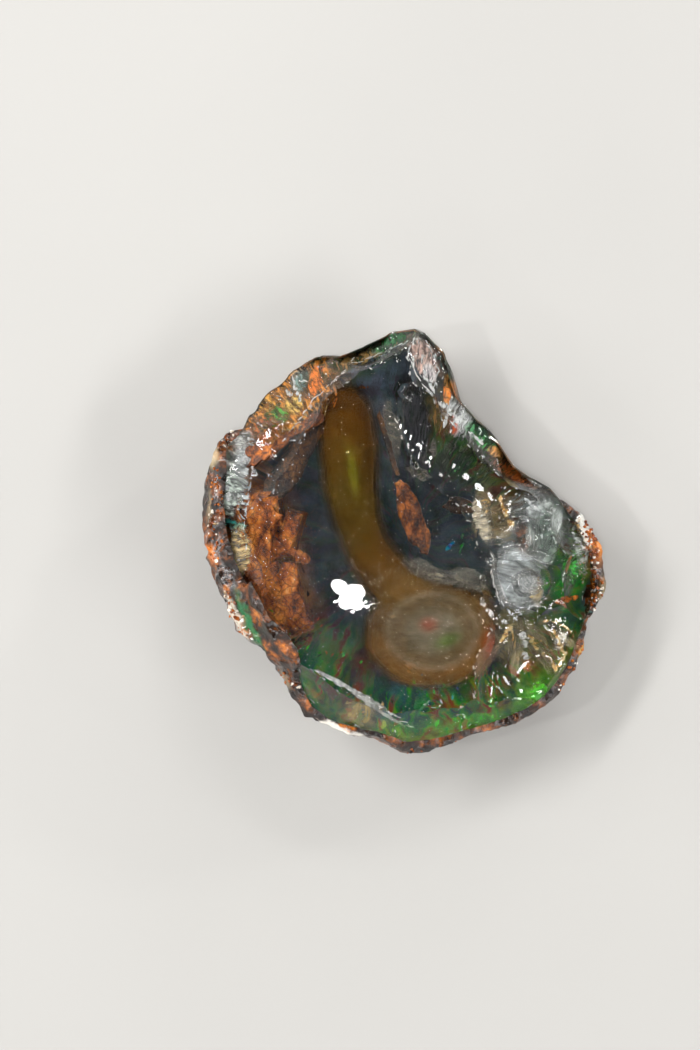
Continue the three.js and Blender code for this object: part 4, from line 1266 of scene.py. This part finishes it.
def make_rust():
    orange = rust("limonite_orange", ("3a1606", "b0560f", "ea8a28", "fcc270"))
    brown = rust("limonite_brown", ("120b05", "3a2410", "6a4018", "a8742e"))
    dark = rust("limonite_dark", ("1a0d04", "643008", "b8641c", "e89a44"))
    rust_blocks([
        ((-17.4, 3.8, 11.4), (2.2, 1.6, 0.3), (6, -14, 4)),
        ((-17.6, -0.6, 11.0), (1.6, 3.2, 0.3), (0, -16, -4)),
        ((-13.8, 1.4, 10.4), (0.8, 2.4, 0.3), (10, -6, -16)),
        ((-15.8, -0.6, 10.0), (1.8, 1.2, 0.3), (0, 10, 8)),
        ((-14.6, -6.4, 10.6), (2.2, 3.2, 0.3), (-8, -8, 12)),
        ((-16.2, -4.2, 10.8), (1.5, 2.4, 0.3), (0, -12, 4)),
        ((-12.8, -8.6, 10.0), (1.4, 1.8, 0.3), (-12, 0, 20)),
        ((-12.4, -1.6, 9.8), (1.0, 0.7, 0.25), (0, 0, -20)),
    ], orange)
    broken_mass([
        ((-13.0, 9.6, 10.6), (1.5, 5.6, 0.2), (0, -22, -33)),
    ], "rust_strip_lower", brown, height=0.35)
    broken_mass([
        ((-14.4, 12.4, 12.0), (0.7, 5.4, 0.25), (0, -30, -56)),
        ((-17.4, 11.0, 11.6), (1.2, 1.8, 0.3), (0, -30, -60)),
    ], "rust_strip_upper", dark, jagged=0.6)
    broken_mass([
        ((0.7, 3.2, 12.6), (1.5, 4.2, 0.2), (-6, 14, 14)),
    ], "rust_plate", dark, voxel=0.12, size=0.7, square=2.4)
    broken_mass([
        ((-2.1, 12.0, 12.0), (0.36, 3.9, 0.2), (-6, 10, 15)),
    ], "rust_streak", brown, voxel=0.12, size=0.7, height=0.3)
    broken_mass([
        ((6.4, 4.3, 12.4), (2.0, 0.8, 0.25), (0, 8, -8)),
    ], "brown_hollow", brown, voxel=0.12, size=0.7, square=2.0)
    broken_mass([
        ((5.0, 17.8, 8.8), (0.6, 1.2, 0.25), (10, 20, 0)),
    ], "rust_chips", orange, voxel=0.12, size=0.7, square=2.0)


def make_veils():
    """The half-healed cracks that show pale in the clear stone."""
    silver = ("7c8080", "b2b6b4", "fbf9f4")
    smoky = ("5a564c", "807a6c", "bcb4a0")
    gold = ("4c4424", "8c7e54", "e0d4b8")
    cracks = {
        "crack_hollow": ((12.0, 12.0), 0.5, 0.6, smoky, [
            ((-1.5, 13.6, 12.4), (1.1, 4.6, 0.06), (6, -24, 10)),
            ((3.2, 11.4, 11.2), (0.6, 1.8, 0.06), (0, 20, -10)),
            ((1.3, 8.2, 11.8), (2.2, 0.7, 0.06), (8, 0, -24))]),
        "crack_bulb": ((16.8, -3.6), 0.6, 0.6, smoky, [
            ((2.6, -3.4, 13.6), (3.8, 1.4, 0.06), (8, 0, -24)),
            ((7.4, -4.4, 13.2), (3.6, 1.6, 0.06), (8, 0, -12))]),
        "crack_bowl": ((10.0, 1.0), 3.2, 0.8, silver, [
            ((13.6, -4.4, 10.4), (3.6, 5.2, 0.06), (0, 6, 22))]),
        "crack_bowl_left": ((9.6, -3.0), 3.0, 0.85, ("6a5e44", "b8ac8c", "f8f2e4"), [
            ((9.2, 2.6, 11.2), (1.3, 3.6, 0.06), (8, -10, 12))]),
        "crack_bowl_high": ((15.6, -6.0), 0.16, 0.62, ("50584e", "8c948c", "e8ece8"), [
            ((16.8, 1.4, 10.9), (2.7, 4.8, 0.06), (0, 14, -6))]),
        "crack_arc": ((16.8, -3.6), 0.3, 0.8, silver, [
            ((10.9, -4.6, 12.2), (0.9, 4.4, 0.06), (0, -30, 18))]),
        "crack_left": ((-8.0, 2.0), 0.4, 0.8, silver, [
            ((-20.2, 6.8, 11.0), (1.6, 4.8, 0.06), (0, -36, -8)),
            ((-19.6, -1.0, 11.2), (1.3, 3.4, 0.06), (0, -36, 8))]),
        "crack_gold": ((13.6, -7.6), 0.4, 0.66, gold, [
            ((13.4, -12.4, 11.4), (1.2, 4.4, 0.06), (14, 10, -2)),
            ((16.2, -12.6, 10.2), (1.3, 4.6, 0.06), (16, -14, 30)),
            ((18.6, -10.8, 9.6), (1.0, 4.0, 0.06), (10, 16, 52)),
            ((11.4, -11.6, 12.2), (0.6, 2.6, 0.06), (10, 0, -30))]),
    }
    for name, (middle, drawn_out, strength, tones, shards) in cracks.items():
        film = veil("opal_film_" + name, middle, drawn_out, strength, tones, shards)
        broken_mass(shards, name, film, voxel=0.1, size=1.4, height=0.3, slot="opal", square=2.0)


def make_film(opal):
    """The film of fine cracks, with its painted highlights and painted shadow, which follows the broken
    surface from close beneath.
    """
    film = new_object("bruised_and_painted_light_film", opal.data.copy())

    def unwanted(face):
        x, y = face.center.x / MM - DRAWN.x, face.center.y / MM - DRAWN.y
        far = all(math.hypot(x - at[0], y - at[1]) > 1.6 * max(reach) + 1 for at, reach, *_ in FILM)
        return far or face.normal.z < 0.1 or face.center.z < 5 * MM

    delete_faces(film, unwanted)
    apply(film, "DISPLACE", strength=-0.4 * MM, mid_level=0.0, direction="NORMAL")
    finished(film, "bruised_and_painted_light_film", [bruised_and_painted_light_film()], smooth=40)


def make_mist(opal):
    """Two thin, milky veils of haze deep in the window."""
    for name, deep in (("mist_upper", 2.6), ("mist_lower", 5.6)):
        mist = new_object(name, opal.data.copy())
        delete_faces(mist, lambda face: face.normal.z < 0.96 or face.center.z < 11 * MM)
        apply(mist, "DISPLACE", strength=-deep * MM, mid_level=0.0, direction="NORMAL")
        finished(mist, name, [milky_mist()], smooth=180)


def flakes():
    """A few thin flakes with broken rims, each 2 mm across, to be copied."""
    return [shard((-DRAWN.x, -DRAWN.y, 0), (1, 1, 1), square=2.0, jagged=0.7, corners=9 + k)
            for k in range(6)]


def strewn(kinds, name, material, sites):
    """One piece of many flakes. Each site is a place, the way out, the way along, and a half length and
    half width in millimetres."""
    copies = []
    for place, out, along, half in sites:
        copy = new_object(name, random.choice(kinds).data.copy())
        copy.matrix_world = (Matrix.Translation(place) @ facing(out, along)
                             @ Matrix.Diagonal((*half, 0.03, 1)))
        copies.append(copy)
    piece = joined(copies)
    settle(piece)
    finished(piece, name, [material], smooth=20)


def beneath(skin, x, y, deep):
    """The place that lies so deep under the opal's surface, and the way out, or nothing at its edge."""
    top, out = skin.ray_cast(in_frame((x, y, OVER)), DOWN)[:2]
    if top is None or out.z < 0.2:
        return None
    place = top - out * deep * MM
    away = skin.find_nearest(place)[3]
    return (place, out) if away > 0.8 * deep * MM and place.z > 4 * MM else None


def spread(skin, count, middle, reach, deep, size, lean):
    """Seeded sites for small breaks round a place under the opal's surface. Each is long in the way that
    runs out from the stone's middle, as the fire does."""
    sites = []
    for _ in range(count):
        x, y = within_oval(reach)
        x, y = middle[0] + x, middle[1] + y
        long = 0.7 * random.uniform(*size)
        found = beneath(skin, x, y, random.uniform(*deep))
        tilt = [math.radians(random.uniform(-lean, lean)) for _ in range(3)]
        wide = long * random.uniform(0.12, 0.4)
        if found:
            turn = Matrix.Rotation(tilt[0], 3, "X") @ Matrix.Rotation(tilt[1], 3, "Y")
            along = Matrix.Rotation(tilt[2], 3, "Z") @ Vector((x, y, 0))
            sites.append((found[0], turn @ found[1], along, (long, wide)))
    return sites


def line_sites(skin, points, wide, deep):
    """Sites of the small flakes, with gaps between them, that make one bright line, most often a painted
    highlight.
    """
    sites = []
    for start, end in zip(points, points[1:]):
        start, end = Vector((*start, 0)), Vector((*end, 0))
        steps = max(2, round((end - start).length / 0.45))
        for k in range(steps):
            at = start.lerp(end, (k + random.uniform(0.2, 0.8)) / steps)
            at += Vector((random.uniform(-0.15, 0.15), random.uniform(-0.15, 0.15), 0))
            found = beneath(skin, at.x, at.y, deep)
            half = (random.uniform(0.25, 0.6), wide * random.uniform(0.3, 0.7))
            if found and random.random() > 0.15:
                sites.append((*found, end - start, half))
    return sites


def ridge_highlight_sites(opal, count):
    """Sites of painted highlights: white flakes just under the opal's sharp ridges, standing in for the
    ridges catching the light.
    """
    places = sharp_places(opal)
    random.shuffle(places)
    return [(middle - out * 0.2 * MM, out, along, (random.uniform(0.1, 0.35), random.uniform(0.04, 0.08)))
            for middle, out, along in places[:count]]


def make_fire(opal):
    """The flashes of colour, each colour one piece; the silver piece, with the ridge flakes, is painted
    highlights and the gold one partly painted glints.
    """
    skin = surface_of(opal)
    # White flakes under the ridges: painted highlights.
    ridges = ridge_highlight_sites(opal, 240)
    colours = {
        # Near-white and barely metallic, so bright under any lamp: painted highlights.
        "silver": ("fcfdfb", "d4dad8", 0.1),
        "gold": ("ffe6ac", "d8a040", 0.35),
        "orange": ("f09848", "a8521c", 0.35),
        "green": ("4fd23a", "0f7a46", 0.35),
        "red": ("e0502a", "8a2414", 0.35),
        "blue": ("2aa0b8", "2c3a9a", 0.35),
    }
    deselect()
    kinds = flakes()
    for colour, look in colours.items():
        sites = [site for each in FLASHES[colour] for site in spread(skin, *each)]
        for each in LINES.get(colour, ()):
            sites += line_sites(skin, *each)
        if colour == "silver":
            sites += ridges
        strewn(kinds, "flashes_" + colour, glint("opal_flash_" + colour, *look), sites)
    for kind in kinds:
        bpy.data.objects.remove(kind)


# ---- Floor, light and camera --------------------------------------------------------------------


def make_floor():
    # Matt painted board: pale, with the faintest mottling.
    material, tree, place = new_material("painted_board_pale")
    mottle = add(tree, "TexNoise", {"Vector": place, "Scale": 12.0})
    tone = add(tree, "Mix", {"Factor": mottle, 6: linear("b0aeaa"), 7: linear("aaa8a4")}, data_type="RGBA")
    skin = add(tree, "BsdfPrincipled", {"Base Color": tone.outputs[2], "Roughness": 0.7})
    add(tree, "OutputMaterial", {"Surface": skin})
    deselect()
    bpy.ops.mesh.primitive_grid_add(x_subdivisions=8, y_subdivisions=8, size=6.0)
    floor = bpy.context.object
    floor.name = "floor"
    floor.data.materials.append(material)


def softbox(name, place, size, watts, shape="RECTANGLE"):
    """A lamp that faces the stone."""
    data = bpy.data.lights.new(name, "AREA")
    data.shape = shape
    data.size, data.size_y = size
    data.energy = watts
    lamp = new_object(name, data)
    lamp.location = place
    lamp.rotation_mode = "QUATERNION"
    lamp.rotation_quaternion = (-Vector(place)).to_track_quat("-Z", "Y")
    lamp.visible_camera = False


def make_light():
    world = bpy.data.worlds.new("studio")
    bpy.context.scene.world = world
    world.use_nodes = True
    tree = world.node_tree
    tree.nodes.clear()
    way = add(tree, "TexCoord").outputs["Generated"]
    height = add(tree, "SeparateXYZ", {"Vector": way}).outputs["Z"]
    tone = add(tree, "ValToRGB", {"Fac": height})
    stops = tone.color_ramp.elements
    stops[0].position, stops[0].color = 0.5, (0.3, 0.3, 0.305, 1)
    stops[1].position, stops[1].color = 0.84, (0.02, 0.02, 0.022, 1)
    sky = add(tree, "Background", {"Color": tone, "Strength": 1.0})
    add(tree, "OutputWorld", {"Surface": sky})
    softbox("key", (-0.5, 0.26, 0.5), (0.44, 0.07), 4.6)
    softbox("fill", (0.56, -0.3, 0.42), (0.4, 0.06), 3.0)
    softbox("back", (0.2, 0.6, 0.5), (0.3, 0.05), 1.5)
    for x, y, wide, long, watts in SPARKS:
        softbox("spark", (x, y, 0.62), (wide, long), watts, "ELLIPSE")
    softbox("spark_left", (-0.36, -0.05, 0.46), (0.035, 0.035), 0.6)
    softbox("spark_right", (0.46, 0.32, 0.24), (0.05, 0.035), 0.6)
    softbox("low_left", (-0.66, 0.1, 0.24), (0.3, 0.05), 1.0)
    softbox("low_back", (0.2, 0.66, 0.22), (0.3, 0.05), 1.0)
    softbox("low_right", (0.68, 0.12, 0.2), (0.2, 0.04), 0.6)
    softbox("low_front", (-0.2, -0.68, 0.16), (0.3, 0.05), 1.0)
    for k in range(12):  # a ring of small lamps, low round the stone, that makes its edges glint
        way = math.radians(30 * k + 10)
        up = math.radians(18 if k % 2 else 31)
        place = (0.7 * math.cos(way) * math.cos(up), 0.7 * math.sin(way) * math.cos(up), 0.7 * math.sin(up))
        softbox("glint", place, (0.07, 0.03), 0.2)
    bpy.context.scene.view_settings.view_transform = "Standard"


def make_camera():
    data = bpy.data.cameras.new("camera")
    data.lens = 100
    camera = new_object("camera", data)
    # Straight over the stone, a little to one side of its middle.
    camera.location = (-0.0066, 0.0020, 0.3635)
    bpy.context.scene.camera = camera


make_camera()
make_floor()
make_light()
make_cloud()
make_rust()
make_veils()
opal = whole_opal()
inner = surface_of(opal)
make_opal(opal)
rind = make_rind(inner, opal)
make_crumbs(rind)
make_skin()
make_film(opal)
make_mist(opal)
make_fire(opal)
